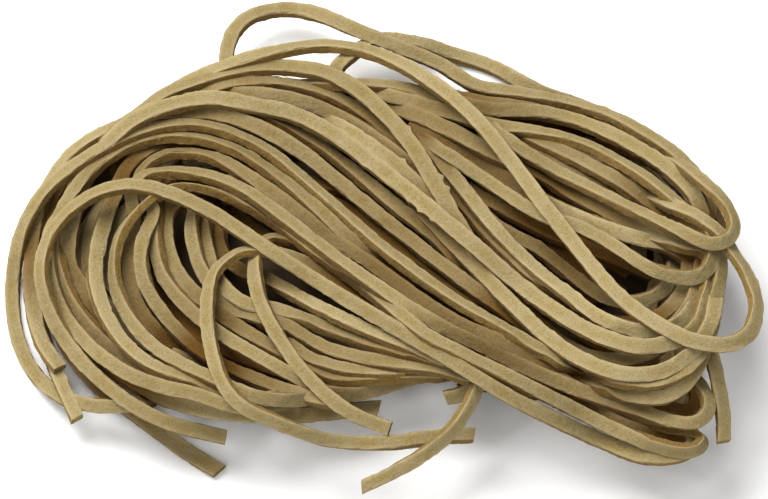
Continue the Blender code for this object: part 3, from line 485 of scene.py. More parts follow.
        (88, 55), (98, 49.5), (110, 44), (124, 39), (138, 33.5), (150, 30.5)
    ]),
    "W3u": (9, [
        (174.5, 33.5), (176.5, 39), (177.3, 46), (177.4, 54), (176.8, 62), (176, 68), (175, 72.5)
    ]),
    "W2u": (9, [
        (176, 38), (178.2, 44), (178.7, 52), (178, 60), (176.6, 65), (174.5, 68.5)
    ]),
    "W1u": (9, [
        (175, 39.5), (177.6, 44), (179, 51), (179.6, 58), (178.6, 64), (174, 68), (168, 70),
        (163, 72)
    ]),
    "SHr": (28, [
        (115.5, 67.3), (120, 60), (127, 51), (135, 43), (143, 37), (152, 34.5), (160, 35.3),
        (166, 39), (169, 43.5)
    ]),
    "M9u": (8, [
        (175, 57), (175.6, 62), (173.5, 66.5), (169, 69.5)
    ]),
    "B7l": (8, [
        (134, 89.5), (122, 93.5), (110, 96.5), (98, 98), (86, 98.5)
    ]),
    "Qr": (28, [
        (168, 39.2), (171.8, 40.8), (174.8, 44.5), (176.6, 50), (177.2, 56), (177.6, 60),
        (176, 62)
    ]),
    "Kr": (22, [
        (134, 54.7), (142, 48.6), (150, 44.9), (158, 43.6), (164.5, 45.3)
    ]),
    "M8u": (8, [
        (172, 57), (171.5, 62), (166, 66), (156, 69), (144, 74), (132, 80), (120, 86)
    ]),
    "D2r": (20, [
        (165, 42.4), (169, 43.8), (172.5, 47.5), (174, 53), (173.4, 58), (168, 62.5), (157, 66),
        (146, 70), (138, 73.5), (132, 76.5)
    ]),
    "M7u": (8, [
        (167.5, 56), (167.5, 60.5), (163, 64.5), (154, 67.5), (142, 72), (130, 78)
    ]),
    "M5u": (9, [
        (178.1, 62), (177, 66.5), (172, 70), (162, 74.5), (150, 80), (138, 84.5), (124, 89)
    ]),
    "B2u": (9, [
        (176, 79), (170, 83.5), (160, 88), (148, 92), (134, 95), (120, 96.5)
    ]),
    "arc1r": (9, [
        (172.5, 67.2), (166, 66.3), (156, 69), (144, 74.5), (130, 81), (116, 88)
    ]),
    "L7u": (9, [
        (179.5, 66.5), (174, 70.5), (164, 75), (150, 81.5), (136, 86.5), (120, 92)
    ]),
    "L6u": (9, [
        (179.5, 64), (177, 68.5), (170, 73), (158, 79), (144, 85), (130, 90), (114, 95)
    ]),
    "arc3r": (9, [
        (137, 101), (148, 97), (158, 92), (167, 85.5), (173, 78)
    ]),
    "Pr": (8, [
        (133, 42), (142, 36), (152, 31.5), (163, 29)
    ]),
    "R1r": (8, [
        (141.5, 33.2), (150, 30), (162, 26.5)
    ]),
    "N2r": (8, [
        (102, 84), (107, 79), (114, 71), (124, 61), (134, 52), (144, 45)
    ]),
    "N3r": (8, [
        (110, 74.3), (118, 67), (128, 57), (138, 49)
    ]),
    "Or": (8, [
        (115, 59), (123, 51), (132, 43.5), (142, 37)
    ]),
    "W1l": (8, [
        (22.5, 37.5), (17.5, 44), (14.5, 53), (14.5, 63), (18, 74), (25, 82.5), (35, 88.5),
        (48, 91), (62, 89.5), (75, 86), (88, 81), (97, 77), (105, 72)
    ]),
    "M5l": (8, [
        (108, 88.5), (99, 93), (89, 97), (77, 99.5), (65, 99.5)
    ]),
    "D2l": (8, [
        (106, 90), (101, 96), (93, 100.5), (82, 102.5), (70, 102.5)
    ]),
    "M7l": (8, [
        (122, 70), (114, 77), (105, 84.5), (95, 90.5), (84, 95)
    ]),
    "M1l": (9, [
        (88, 103.6), (76, 103.5), (64, 101.5), (52, 97), (42, 90.5)
    ]),
    "M2l": (8, [
        (97, 100.7), (86, 102), (74, 101), (62, 97.5), (52, 92)
    ]),
    "M3l": (8, [
        (101, 97), (90, 99.5), (79, 99), (68, 95.5), (58, 90)
    ]),
    "B8l": (8, [
        (134, 86.3), (122, 89.5), (110, 92), (98, 93)
    ]),
    "B2l": (8, [
        (121, 93.7), (114, 95.5), (102, 99)
    ]),
    "R2r": (8, [
        (94, 61.2), (97, 58), (108, 50), (120, 43.5)
    ]),
    "Jr": (8, [
        (40, 88), (50, 88.2), (60, 84.5), (70, 78), (82, 69), (95, 59), (108, 50)
    ]),
    "L7l": (9, [
        (60, 109.3), (50, 105.5), (40, 99.5), (30, 92), (22, 83.5), (17, 74)
    ]),
    "arc1l": (9, [
        (56.7, 108), (57.5, 102.5), (60, 96), (63, 90)
    ]),
    "arc3l": (9, [
        (84.7, 108.3), (81.5, 103.5), (77, 98), (71, 93)
    ]),
    "E1l": (8, [
        (36, 24.3), (45, 26.5), (56, 30), (66, 33)
    ]),
    "E2u": (8, [
        (13.5, 33), (11.7, 38), (10, 45), (9, 53), (9.6, 63), (12, 73), (17, 82), (25, 88.5),
        (36, 93), (48, 95.5), (60, 97), (72, 96.5), (82, 94.5)
    ]),
    "f1l": (8, [
        (25, 46.6), (30, 40), (38, 34.5), (48, 31), (58, 29.5)
    ]),
    "f2l": (8, [
        (42, 29.2), (52, 26.5), (62, 25.3), (72, 26), (84, 29)
    ]),
    "g0l": (8, [
        (54, 26.8), (64, 26.2), (76, 28), (88, 31)
    ]),
    "f3l": (18, [
        (59, 23.2), (68, 23.6), (80, 26.5), (92, 30)
    ]),
    "Jl": (17, [
        (61, 24.6), (70, 25.5), (82, 28.5)
    ]),
    "TVl": (16, [
        (64, 25.5), (72, 24.8), (80, 25.2), (87, 27)
    ]),
    "g3l": (8, [
        (41, 40), (48, 35.8), (58, 32.5), (70, 31)
    ]),
    "a4l": (8, [
        (72, 38.8), (63, 44.5), (55, 52), (50, 61), (48, 70), (52, 77), (62, 78)
    ]),
    "g5bl": (8, [
        (46, 44), (39, 51), (36, 60), (37, 70)
    ]),
}

# Each lace, as the runs it passes along; a minus sign turns a run round
laces = {
    "lace_1": ["U", "Ur", "g6", "g6a", "a5", "a5r", "V2"],
    "lace_2": ["-H", "-SHl", "SH", "SHr", "M9", "M9u", "-B7", "B7l"],
    "lace_3": ["P", "Pr"],
    "lace_4": ["-E2b", "E2u", "N3", "N3r"],
    "lace_5": ["-L1", "d2", "d2r"],
    "lace_6": ["-L2", "d1", "d1r", "W2", "W2u", "-M2", "M2l"],
    "lace_7": ["-c1", "W1l", "W1", "W1u", "-B8", "B8l"],
    "lace_8": ["L4", "L4u", "g8", "a2", "a2r", "W3", "W3u", "-M1", "M1l"],
    "lace_9": ["-L5", "L5u", "g9", "a1", "a1r", "Ti"],
    "lace_10": ["L6", "L6u"],
    "lace_11": ["-E1l", "E1", "R1", "R1r"],
    "lace_12": ["-R2r", "R2x", "R2", "f3", "f3l"],
    "lace_13": ["-Jr", "J", "Jl"],
    "lace_14": ["-TVl", "-TV", "TVV", "V", "Ve", "Vr", "-S", "Sl", "g4"],
    "lace_15": ["-g3l", "-g3", "-Tl", "T", "Tr", "g7", "g7a", "a3"],
    "lace_16": ["-f1l", "-f1", "-Ql", "Q", "Qr", "-M3", "M3l"],
    "lace_17": ["-f2l", "-f2", "-N1l", "N1", "K", "Kr", "M8", "M8u"],
    "lace_18": ["-g0l", "-g0", "-N2l", "N2", "N2r"],
    "lace_19": ["-a6", "-g5a", "-g5", "-Ol", "O", "Or"],
    "lace_20": ["-L7l", "L7", "L7e", "L7u"],
    "lace_21": ["-arc1l", "arc1", "arc1r"],
    "lace_22": ["-arc3l", "arc3", "arc3r"],
    "lace_23": ["-D2l", "D2", "D2r", "-M6"],
    "lace_24": ["-M5l", "M5", "M5u"],
    "lace_25": ["-B2l", "B2", "B2e", "B2u"],
    "lace_26": ["-M7l", "M7", "M7u"],
    "lace_27": ["-a4l", "a4"],
    "lace_28": ["-g5bl", "g5b"],
    "lace_29": ["deep1"],
    "lace_30": ["deep2"],
    "lace_31": ["deep3"],
    "lace_32": ["deep4"],
    "lace_33": ["deep5"],
    "lace_34": ["deep6"],
    "lace_35": ["under1"],
    "lace_36": ["under2"],
}


def smoothCurve(points, step):
    # Centripetal Catmull-Rom: between two points, a blend of the parabolas through their neighbours
    points = np.array(points, float)
    points = np.vstack([2 * points[0] - points[1], points, 2 * points[-1] - points[-2]])
    chord = np.linalg.norm(np.diff(points, axis=0), axis=1)
    knots = np.concatenate([[0], np.cumsum(chord ** 0.5)])
    pieces = []
    for i in range(1, len(points) - 2):
        a, b, c, d = knots[i - 1:i + 3]
        count = max(int(chord[i] / step), 1)
        t = np.linspace(b, c, count, endpoint=False)[:, None]
        p, q, r, s = points[i - 1:i + 3]
        first = (b - t) / (b - a) * p + (t - a) / (b - a) * q
        second = (c - t) / (c - b) * q + (t - b) / (c - b) * r
        third = (d - t) / (d - c) * r + (t - c) / (d - c) * s
        lower = (c - t) / (c - a) * first + (t - a) / (c - a) * second
        upper = (d - t) / (d - b) * second + (t - b) / (d - b) * third
        pieces.append((c - t) / (c - b) * lower + (t - b) / (c - b) * upper)
    pieces.append(points[-2:-1])
    return np.vstack(pieces)


def placeAlong(curve):
    # How far along the curve each of its points lies
    return np.concatenate([[0], np.cumsum(np.linalg.norm(np.diff(curve, axis=0), axis=1))])


def evened(values, points):
    # The average over this many points on either side of each
    width = 2 * points + 1
    return np.convolve(np.pad(values, points, mode="edge"), np.ones(width) / width, mode="valid")


def evenly(curve, step):
    # The same curve with its points a step apart
    place = placeAlong(curve)
    at = np.linspace(0, place[-1], max(int(round(place[-1] / step)), 2) + 1)
    return np.stack([np.interp(at, place, column) for column in curve.T], axis=1)


def unit(vectors):
    return vectors / np.linalg.norm(vectors, axis=-1)[..., None]


def sideways(curve):
    along = unit(np.gradient(curve, axis=0))
    return np.stack([-along[:, 1], along[:, 0]], axis=1)


def toPlan(seen, height):
    # Follows the line of sight through a point of the view down to this height above the table
    across = seen[..., 0] - view["centre"][0]
    up = seen[..., 1] - view["centre"][1]
    near = (height - up * cosView) / (sinView - up * cosView / view["distance"])
    shrink = 1 - near / view["distance"]
    return np.stack([across * shrink, up * shrink * sinView - near * cosView], axis=-1)


class HeightMap:
    # How high the heap stands so far, over the flat cells of the plan or of the view
    def __init__(self, low, high):
        self.low = np.array(low, float)
        size = ((np.array(high) - self.low) / cell).astype(int)
        self.height = np.zeros((size[1], size[0]))

    def cells(self, points):
        index = ((points - self.low) / cell).astype(int)
        column = np.clip(index[..., 0], 0, self.height.shape[1] - 1)
        row = np.clip(index[..., 1], 0, self.height.shape[0] - 1)
        return row, column

    def centres(self):
        rows, columns = np.indices(self.height.shape)
        return np.stack([columns, rows], axis=-1) * cell + self.low + cell / 2

    def lay(self, curve, thickness):
        # The lace tilts with what is under its two sides. Its middle is half a thickness over the
        # highest thing under it, less gap^2 / (2 radius) on either side of that, as it bends down
        share = np.linspace(-below["reach"], below["reach"], below["count"])
        half = below["count"] // 2
        across = share * lace["width"]
        crown = thickness / 2 * np.sqrt(1 - (share * 2) ** 2)
        place = placeAlong(curve)
        under = curve[:, None] + across[None, :, None] * sideways(curve)[:, None]
        support = self.height[self.cells(under)]
        left, right = support[:, half + 1:].max(axis=1), support[:, :half].max(axis=1)
        slope = lace["tilt"] * blurred(place, left - right, lace["tiltReach"]) / lace["width"]
        slope = np.clip(slope, -lace["mostTilt"], lace["mostTilt"])
        base = (support + crown - slope[:, None] * across).max(axis=1)
        middle = sagged(place, base, lace["bendRadius"])
        fine = evenly(np.column_stack([curve, middle, slope]), cell * fineStep)
        over = fine[:, None, :2] + across[None, :, None] * sideways(fine[:, :2])[:, None]
        np.maximum.at(self.height, self.cells(over), fine[:, 2:3] + crown + fine[:, 3:4] * across)
        return middle, slope

    def under(self, curve):
        # How high a lace's middle can lie here and stay under what is on top
        across = np.linspace(-above["reach"], above["reach"], above["count"]) * lace["width"]
        over = curve[:, None] + across[None, :, None] * sideways(curve)[:, None]
        return self.height[self.cells(over)].min(axis=1) - above["gap"] * lace["thickness"]


def blurred(place, values, reach):
    # The average of the values around each place, weighted by exp(-(distance / reach)^2 / 2)
    weight = np.exp(-((place[:, None] - place[None, :]) / reach) ** 2 / 2)
    return weight @ values / weight.sum(axis=1)


def sagged(place, base, radius):
    # The least height that clears the base everywhere with gap^2 / (2 radius) of bend, smoothed
    gap = place[:, None] - place[None, :]
    middle = (base[None, :] - gap ** 2 / (2 * radius)).max(axis=1)
    return blurred(place, middle, lace["smoothReach"])


def heapRing(turn, reach):
    # Points of the heap's outline at the given turns, drawn in towards its centre by reach
    step = heap["outlineStep"]
    outline = evenly(smoothCurve(heap["outline"] + heap["outline"][:1], step), step)
    at = np.linspace(0, 1, len(outline))
    ring = np.stack([np.interp(turn % 1.0, at, column) for column in outline.T], axis=1)
    centre = np.array(heap["centre"])
    return centre + (ring - centre) * np.asarray(reach)[..., None]


def winding(number):
    # An inner lace: the heap's outline, drawn in as it turns, with a slow waver
    random = np.random.default_rng(heap["seed"] + number)
    start, end = heap["windings"][number]
    turn = np.linspace(0, heap["turns"], heap["windingSteps"])
    waverAt, startAt = random.uniform(0, 1, 2)
    reach = np.interp(turn, (0, heap["turns"]), (start, end))
    reach = reach * (1 + heap["waver"] * np.sin(2 * math.pi * (heap["wavers"] * turn + waverAt)))
    return evenly(heapRing(turn + startAt, reach), lace["curveStep"])


def moundMap():
    # The low mound inside the windings: height * (1 - (reach / coreReach)^shoulder)^crown
    plan = HeightMap(*planField)
    ring = heapRing(np.linspace(0, 1, 181), np.ones(181)) - np.array(heap["centre"])
    angle = np.unwrap(np.arctan2(ring[:, 1], ring[:, 0]))
    order = np.argsort(angle)
    spoke = plan.centres() - np.array(heap["centre"])
    outer = np.interp(
        np.arctan2(spoke[..., 1], spoke[..., 0]),
        angle[order], np.linalg.norm(ring, axis=1)[order], period=2 * math.pi,
    )
    reach = np.linalg.norm(spoke, axis=-1) / outer / heap["coreReach"]
    dome = np.clip(1 - reach ** heap["coreShoulder"], 0, 1)
    plan.height = heap["coreHeight"] * dome ** heap["coreCrown"]
    return plan


def seenFromView(plan):
    # The heap so far, as the height that each line of sight meets first
    seen = HeightMap(*viewField)
    centre = seen.centres()
    for level in np.arange(0.0, heap["mostHeight"], heap["levelStep"]):
        ground = toPlan(centre, np.full(centre.shape[:2], level))
        seen.height[plan.height[plan.cells(ground)] >= level] = level
    seen.height[seen.height < heap["leastSeen"]] = 0.0
    return seen


def joinedRuns(labels):
    # One lace's points from run to run, and the run that each belongs to
    points, owner = [], []
    for label in labels:
        path = runs[label.lstrip("-")][1]
        path = path[::-1] if label.startswith("-") else path
        if points and math.dist(points[-1], path[0]) < joinReach:
            path = path[1:]
        points += path
        owner += [label] * len(path)
    return points, owner


def laceCurve(labels):
    # The smooth curve through a lace's points, and the run that each of its own points is on
    points, owner = joinedRuns(labels)
    curve = evenly(smoothCurve(points, lace["curveStep"] / 2), lace["curveStep"])
    place = placeAlong(curve)
    nearest = [place[np.linalg.norm(curve - p, axis=1).argmin()] for p in points]
    nearest = np.maximum.accumulate(nearest)
    index = np.searchsorted(nearest, place, side="left").clip(0, len(owner) - 1)
    return curve, [owner[i] for i in index]


def orderOf(label):
    return runs[label.lstrip("-")][0]


def spansInOrder(curves):
    # Every stretch of a lace that is on one run, from the lowest run up
    spans = []
    for number, (name, (curve, owner)) in enumerate(curves.items()):
        starts = [0] + [i for i in range(1, len(owner)) if owner[i] != owner[i - 1]]
        for start, end in zip(starts, starts[1:] + [len(owner)]):
            spans.append((orderOf(owner[start]), number, name, start, end))
    return sorted(spans)


def layRuns(seen, curves):
    # Lays the stretches one on another: each lace's heights and slopes, and the heap under the
    # first run that shows
    heights = {name: np.zeros((len(curve), 2)) for name, (curve, owner) in curves.items()}
    core = None
    for order, number, name, start, end in spansInOrder(curves):
        if order >= deepOrder and core is None:
            core = seen.height.copy()
        reach = lace["overrun"] if order >= deepOrder else 1
        first = max(start - reach, 0)
        last = min(end + reach, len(heights[name]))
        curve = curves[name][0][first:last]
        step = lace["layStep"] if order >= deepOrder else lace["deepStep"]
        laid = np.stack(seen.lay(curve, step), axis=1)
        known = heights[name][first:last]
        keep = (known[:, 0] > laid[:, 0])[:, None]
        heights[name][first:last] = np.where(keep, known, laid)
    return heights, core


def layBundle():
    # The path of every lace: x, y, height and slope at each point
    plan = moundMap()
    paths = []
    for number in range(len(heap["windings"])):
        curve = winding(number)
        height, slope = plan.lay(curve, lace["layStep"])
        paths.append((f"inner_lace_{number + 1}", np.column_stack([curve, height, slope])))
    print("wound", len(paths), "inner laces, highest", round(float(plan.height.max()), 1), "mm")
    seen = seenFromView(plan)
    curves = {name: laceCurve(labels) for name, labels in laces.items()}
    heights, core = layRuns(seen, curves)
    for name, (curve, owner) in curves.items():
        place = placeAlong(curve)
        height = sagged(place, heights[name][:, 0], lace["diveRadius"])
        hidden = np.array([orderOf(label) < deepOrder for label in owner])
        height = np.where(hidden, np.minimum(height, seen.under(curve)), height)
        height = np.maximum(blurred(place, height, lace["lastReach"]), lace["thickness"] / 2)
        slope = blurred(place, heights[name][:, 1], lace["tiltReach"])
        paths.append((name, np.column_stack([toPlan(curve, height), height, slope])))
    return paths, seen, core


def boxBlur(heights, cells):
    # The average of a height map over a square of this many cells
    kernel = np.ones(cells) / cells
    for axis in (0, 1):
        heights = np.apply_along_axis(np.convolve, axis, heights, kernel, mode="same")
    return heights


def wander(count, step, wave, random):
    # Smooth noise along a lace, about 1 high: random values every wave, joined by cosines
    knots = random.normal(0, 1, int(count * step / wave) + 4)
    at = np.arange(count) * step / wave
    low = at.astype(int)
    share = (1 - np.cos((at - low) * math.pi)) / 2
    return knots[low] * (1 - share) + knots[low + 1] * share


def laceSection():
    # A rectangle one wide and one tall on either side of its middle, with small round corners:
    # across and up at each point
    corner = lace["corner"] / lace["width"] * 2, lace["corner"] / lace["thickness"] * 2
    quarter = np.radians(lace["cornerTurns"])
    spots = np.stack([1 - corner[0] + corner[0] * np.cos(quarter),
                      1 - corner[1] + corner[1] * np.sin(quarter)], axis=1)
    flat = np.array([[lace["faceSplit"], 1.0], [-lace["faceSplit"], 1.0]])
    half = np.vstack([spots, flat, spots[::-1] * (-1, 1), [[-1.0, 0.0]]])
    section = np.vstack([half, half * -1])
    return section[:, 0], section[:, 1]


def rolledFrame(name, path, slope, random):
    # Along, side and up at each point, turned by the roll: the slope that the lace lies on, a slow
    # twist, a quicker one, and a bank into its bends
    step = lace["ringStep"]
    count = len(path)
    along = unit(np.gradient(path, axis=0))
    side = unit(np.cross((0, 0, 1), along))
    up = np.cross(along, side)
    heading = np.unwrap(np.arctan2(along[:, 1], along[:, 0]))
    bend = np.gradient(evened(heading, lace["bendReach"]))
    roll = np.arctan(slope) + lace["slowRoll"] * wander(count, step, lace["slowRollWave"], random)
    roll += lace["rollChange"] * wander(count, step, lace["rollWave"], random)
    bank = lace["bank"] * lace["banks"].get(name, random.uniform(*lace["bankShares"]))
    roll += np.clip(bend / step * bank, -lace["mostBank"], lace["mostBank"])
    cosRoll, sinRoll = np.cos(roll)[:, None], np.sin(roll)[:, None]
    return along, side * cosRoll + up * sinRoll, up * cosRoll - side * sinRoll


def sectionsAlong(name, place, toView, flat, tall, random):
    # How far across and up each point of each ring stands: the section, with a width and a thickness
    # that wander, ragged cut edges and tufts
    step = lace["ringStep"]
    count = len(place)
    wide = lace["width"] / 2 * lace["wideOnes"].get(name, random.uniform(*lace["widths"]))
    wide = wide * (1 + lace["widthChange"] * wander(count, step, lace["widthWave"], random))
    thick = lace["thicknessChange"] * wander(count, step, lace["thicknessWave"], random)
    thick = lace["thickness"] / 2 * (1 + thick)
    stray = sum(
        share * np.stack([wander(count, step, wave, random) for _ in flat], axis=1)
        for wave, share in lace["strayWaves"]
    )
    least = lace["strayLeast"]
    stray *= lace["ragged"] * (least + (1 - least) * np.abs(flat * tall))
    sideOut = flat * wide[:, None] + stray * np.sign(flat)
    for x, y, reach in tufts.get(name, []):
        away = np.hypot(toView[:, 0] - x, toView[:, 1] - y)
        spread = np.exp(-((place - place[away.argmin()]) / tuftLength) ** 2)
        sideOut += spread[:, None] * reach * np.clip(flat * np.sign(reach) * 2 - 1, 0, 1)
    return sideOut, tall * thick[:, None] + lace["strayUp"] * stray * np.sign(tall)


def laceFaces(count, around):
    # Four-sided faces between the rings, and triangles from each end's middle to its ring
    ring, spot = np.indices((count - 1, around))
    after = (spot + 1) % around
    quads = np.stack([
        ring * around + spot, (ring + 1) * around + spot,
        (ring + 1) * around + after, ring * around + after,
    ], axis=-1).reshape(-1, 4)[:, ::-1]
    spots = np.arange(around)
    nextSpot = (spots + 1) % around
    last = (count - 1) * around
    middle = np.full(around, count * around)
    startCap = np.stack([middle, spots, nextSpot], axis=-1)[:, ::-1]
    endCap = np.stack([middle + 1, last + nextSpot, last + spots], axis=-1)[:, ::-1]
    return quads.tolist() + startCap.tolist() + endCap.tolist()


def buriedShare(name, path, toView, surface):
    # How far a lace lies under the heap around it, and so how much painted shade it gets, 0 to 1. What
    # is around it is measured across the view, not in plan, so low laces at the back count as deeper
    at = surface.cells(toView)
    buriedShade = surface.height[at] - path[:, 2] - suedeLook["shadeStart"]
    buriedShade = np.clip(buriedShade / suedeLook["shadeDepth"], 0, 1)
    buriedShade *= np.clip((surface.cover[at] - suedeLook["openShare"]) / suedeLook["openFade"], 0, 1)
    if name.startswith("inner"):
        buriedShade *= suedeLook["innerShade"]
    return evened(buriedShade, suedeLook["shadePoints"])


def laceMesh(name, path, surface, material, random):
    # The section carried along the path: middle + side * across + up * height + along * slant
    path = evenly(path, lace["ringStep"])
    slope, path = path[:, 3], path[:, :3]
    path[:, 2] = evened(path[:, 2], lace["risePoints"])
    count = len(path)
    place = np.arange(count) * lace["ringStep"]
    toView = np.stack([path[:, 0], path[:, 1] * sinView + path[:, 2] * cosView], axis=1) + view["centre"]
    along, side, up = rolledFrame(name, path, slope, random)
    flat, tall = laceSection()
    around = len(flat)
    sideOut, upOut = sectionsAlong(name, place, toView, flat, tall, random)
    slant = random.uniform(-lace["slant"], lace["slant"], 2)
    fromEnd = np.stack([place, place[-1] - place], axis=1)
    skew = (np.clip(1 - fromEnd / lace["slantReach"], 0, 1) * slant).sum(axis=1)
    points = (
        path[:, None] + side[:, None] * sideOut[..., None] + up[:, None] * upOut[..., None]
        + along[:, None] * (skew[:, None] * sideOut)[..., None]
    )
    points[..., 2] = np.maximum(points[..., 2], lace["lowest"])
    ends = points[[0, -1]].mean(axis=1)
    mesh = bpy.data.meshes.new(name)
    corners = np.vstack([points.reshape(-1, 3), ends]) * mm
    mesh.from_pydata(corners.tolist(), [], laceFaces(count, around))
    mesh.shade_smooth()
    mesh.set_sharp_from_angle(angle=math.radians(50))
    # The side faces take a darker, warmer colour: partly the cut edge's own, partly painted shade
    cut = np.clip((np.abs(flat) - suedeLook["cutFrom"]) / (1 - suedeLook["cutFrom"]), 0, 1)
    cut = cut * np.clip(suedeLook["cutMiddle"] - np.abs(tall) * 0.5, 0, 1)
    setAttribute(mesh, "shadedCutSide", np.concatenate([np.tile(cut, count), [1, 1]]))
    # A painted highlight along the upper corners of the section
    edge = np.clip((np.abs(flat * tall) - suedeLook["highlightFrom"]) / suedeLook["edgeFade"], 0, 1)
    setAttribute(mesh, "edge", np.concatenate([np.tile(edge * (tall > 0), count), [0, 0]]))
    setAttribute(mesh, "tone", np.full(len(mesh.vertices), random.uniform(0, 1)))
    # Painted shade, by how far the lace lies under the heap
    buriedShade = buriedShare(name, path, toView, surface)
    setAttribute(mesh, "buriedShade", np.concatenate([np.repeat(buriedShade, around), buriedShade[[0, -1]]]))
    mesh.materials.append(material)
    thing = bpy.data.objects.new(name, mesh)
    bpy.context.scene.collection.objects.link(thing)
    return thing, path


def setAttribute(mesh, name, values):
    # One value at each point, which the suede reads by this name
    attribute = mesh.attributes.new(name, "FLOAT", "POINT")
    attribute.data.foreach_set("value", np.asarray(values, np.float32))


def coreMesh(seen, core, material):
    # The inside of the heap, painted dark as deep shade: the inner laces' heights, smoothed and sunk,
    # closed underneath
    skip = int(heap["coreCell"] / cell)
    high = boxBlur(core, 2 * skip + 1)[::skip, ::skip] - heap["coreSink"]
    spots = seen.centres()[::skip, ::skip]
    top = np.dstack([toPlan(spots, np.maximum(high, 0.1)), high])
    rows, columns = high.shape
    filled = (core > heap["coreFrom"]).astype(float)
    filled = boxBlur(filled, int(heap["coreEdge"] / cell))[::skip, ::skip]
    inside = (high > heap["coreLeast"]) & (filled > heap["coreCover"])
    square = inside[:-1, :-1] & inside[1:, :-1] & inside[:-1, 1:] & inside[1:, 1:]
    row, column = np.nonzero(square)
    number = np.arange(rows * columns).reshape(rows, columns)
    faces = np.stack([
        number[row, column], number[row, column + 1],
        number[row + 1, column + 1], number[row + 1, column],
    ], axis=-1)
    used, index = np.unique(faces, return_inverse=True)
    upper = index.reshape(faces.shape)
    topPoints = top.reshape(-1, 3)[used]
    lowPoints = topPoints * (1, 1, 0) + (0, 0, heap["coreFoot"])
    edges = np.concatenate([upper[:, [i, (i + 1) % 4]] for i in range(4)])
    both, counts = np.unique(np.sort(edges, axis=1), axis=0, return_counts=True)
    rim = set(map(tuple, both[counts == 1].tolist()))
    walls = [
        (b, a, a + len(used), b + len(used))
        for a, b in edges.tolist() if (min(a, b), max(a, b)) in rim
    ]
    lower = upper[:, ::-1] + len(used)
    mesh = bpy.data.meshes.new("inner_core")
    mesh.from_pydata(
        (np.vstack([topPoints, lowPoints]) * mm).tolist(), [],
        upper.tolist() + lower.tolist() + walls,
    )
    mesh.shade_smooth()
    mesh.materials.append(material)
    thing = bpy.data.objects.new("inner_core", mesh)
    bpy.context.scene.collection.objects.link(thing)
    return thing


suedeLook = {
    "pale": (0.306, 0.247, 0.124),
    "deep": (0.256, 0.187, 0.063),
    # Side colour: partly the cut edge's own colour, partly painted shade of the side faces
    "shadedCutSide": (0.210, 0.133, 0.039),
    "shadeStart": -0.6,  # how far a lace lies under its surroundings before it darkens
    "shadeDepth": 5.0,
    "shadeReach": 13.0,
    "shadePoints": 5,  # points on either side that it is evened over
    "innerShade": 0.35,  # the windings show at the heap's open sides, so they stay paler
    "openShare": 0.62,  # laces with less of the heap round them than this stay pale
    "openFade": 0.3,
    "coverFrom": 0.5,
    "cutFrom": 0.84,  # where the cut side starts, over half the width
    "cutMiddle": 1.25,  # the cut side is full up to half its height and fades towards the corners
    "highlightFrom": 0.70,  # where the painted highlight on the face's upper edges starts, and over how much it fades in
    "edgeFade": 0.12,
    # The painted highlight's colour
    "edge": (0.365, 0.295, 0.158),
    # The painted shade's colour, for laces under the heap
    "shade": (0.40, 0.255, 0.095),
    "laceTones": [(0.0, (0.84, 0.80, 0.72)), (1.0, (1.06, 1.05, 1.03))],
    "cloudScale": 170.0,
    "cloud": [(0.30, 0.25), (0.60, 1.0)],
    "grainScale": 2400.0,
    "grain": [(0.34, 0.70), (0.52, 1.0), (0.66, 1.12)],
    "pitScale": 1300.0,
    "pits": [(0.34, 0.70), (0.46, 1.0)],
    "napScale": 2600.0,
    "poreScale": 700.0,
    "specular": 0.1,
    "roughness": 0.95,
    "sheen": 0.05,
    "sheenRoughness": 0.5,
    "sheenTint": (0.95, 0.88, 0.70),
    "napBump": 0.0002,  # metres
    "poreBump": 0.0004,
}
# The core's colour is painted shade, the dark of deep gaps between laces
coreShadeLook = {"colour": (0.054, 0.037, 0.021)}


def node(tree, kind, **settings):
    made = tree.nodes.new(kind)
    for key, value in settings.items():
        if key in made.inputs:
            made.inputs[key].default_value = value
        else:
            setattr(made, key, value)
    return made


def noise(tree, coordinates, scale, detail=3.0, roughness=0.6):
    made = node(tree, "ShaderNodeTexNoise", Scale=scale, Detail=detail, Roughness=roughness)
    tree.links.new(coordinates, made.inputs["Vector"])
    return made.outputs["Fac"]


def ramp(tree, value, stops):
    # Each stop is a position with a grey level or a colour
    made = node(tree, "ShaderNodeValToRGB")
    while len(made.color_ramp.elements) < len(stops):
        made.color_ramp.elements.new(0.5)
    for element, (position, level) in zip(made.color_ramp.elements, stops):
        element.position = position
        element.color = (level, level, level, 1) if isinstance(level, float) else (*level, 1)
    tree.links.new(value, made.inputs["Fac"])
    return made.outputs["Color"]


def mixed(tree, share, first, second, blend="MIX"):
    # Each of the three is a socket or a plain value
    made = node(tree, "ShaderNodeMix", data_type="RGBA", blend_type=blend)
    for value, place in ((share, 0), (first, 6), (second, 7)):
        if isinstance(value, bpy.types.NodeSocket):
            tree.links.new(value, made.inputs[place])
        else:
            made.inputs[place].default_value = value if place == 0 else (*value, 1)
    return made.outputs[2]


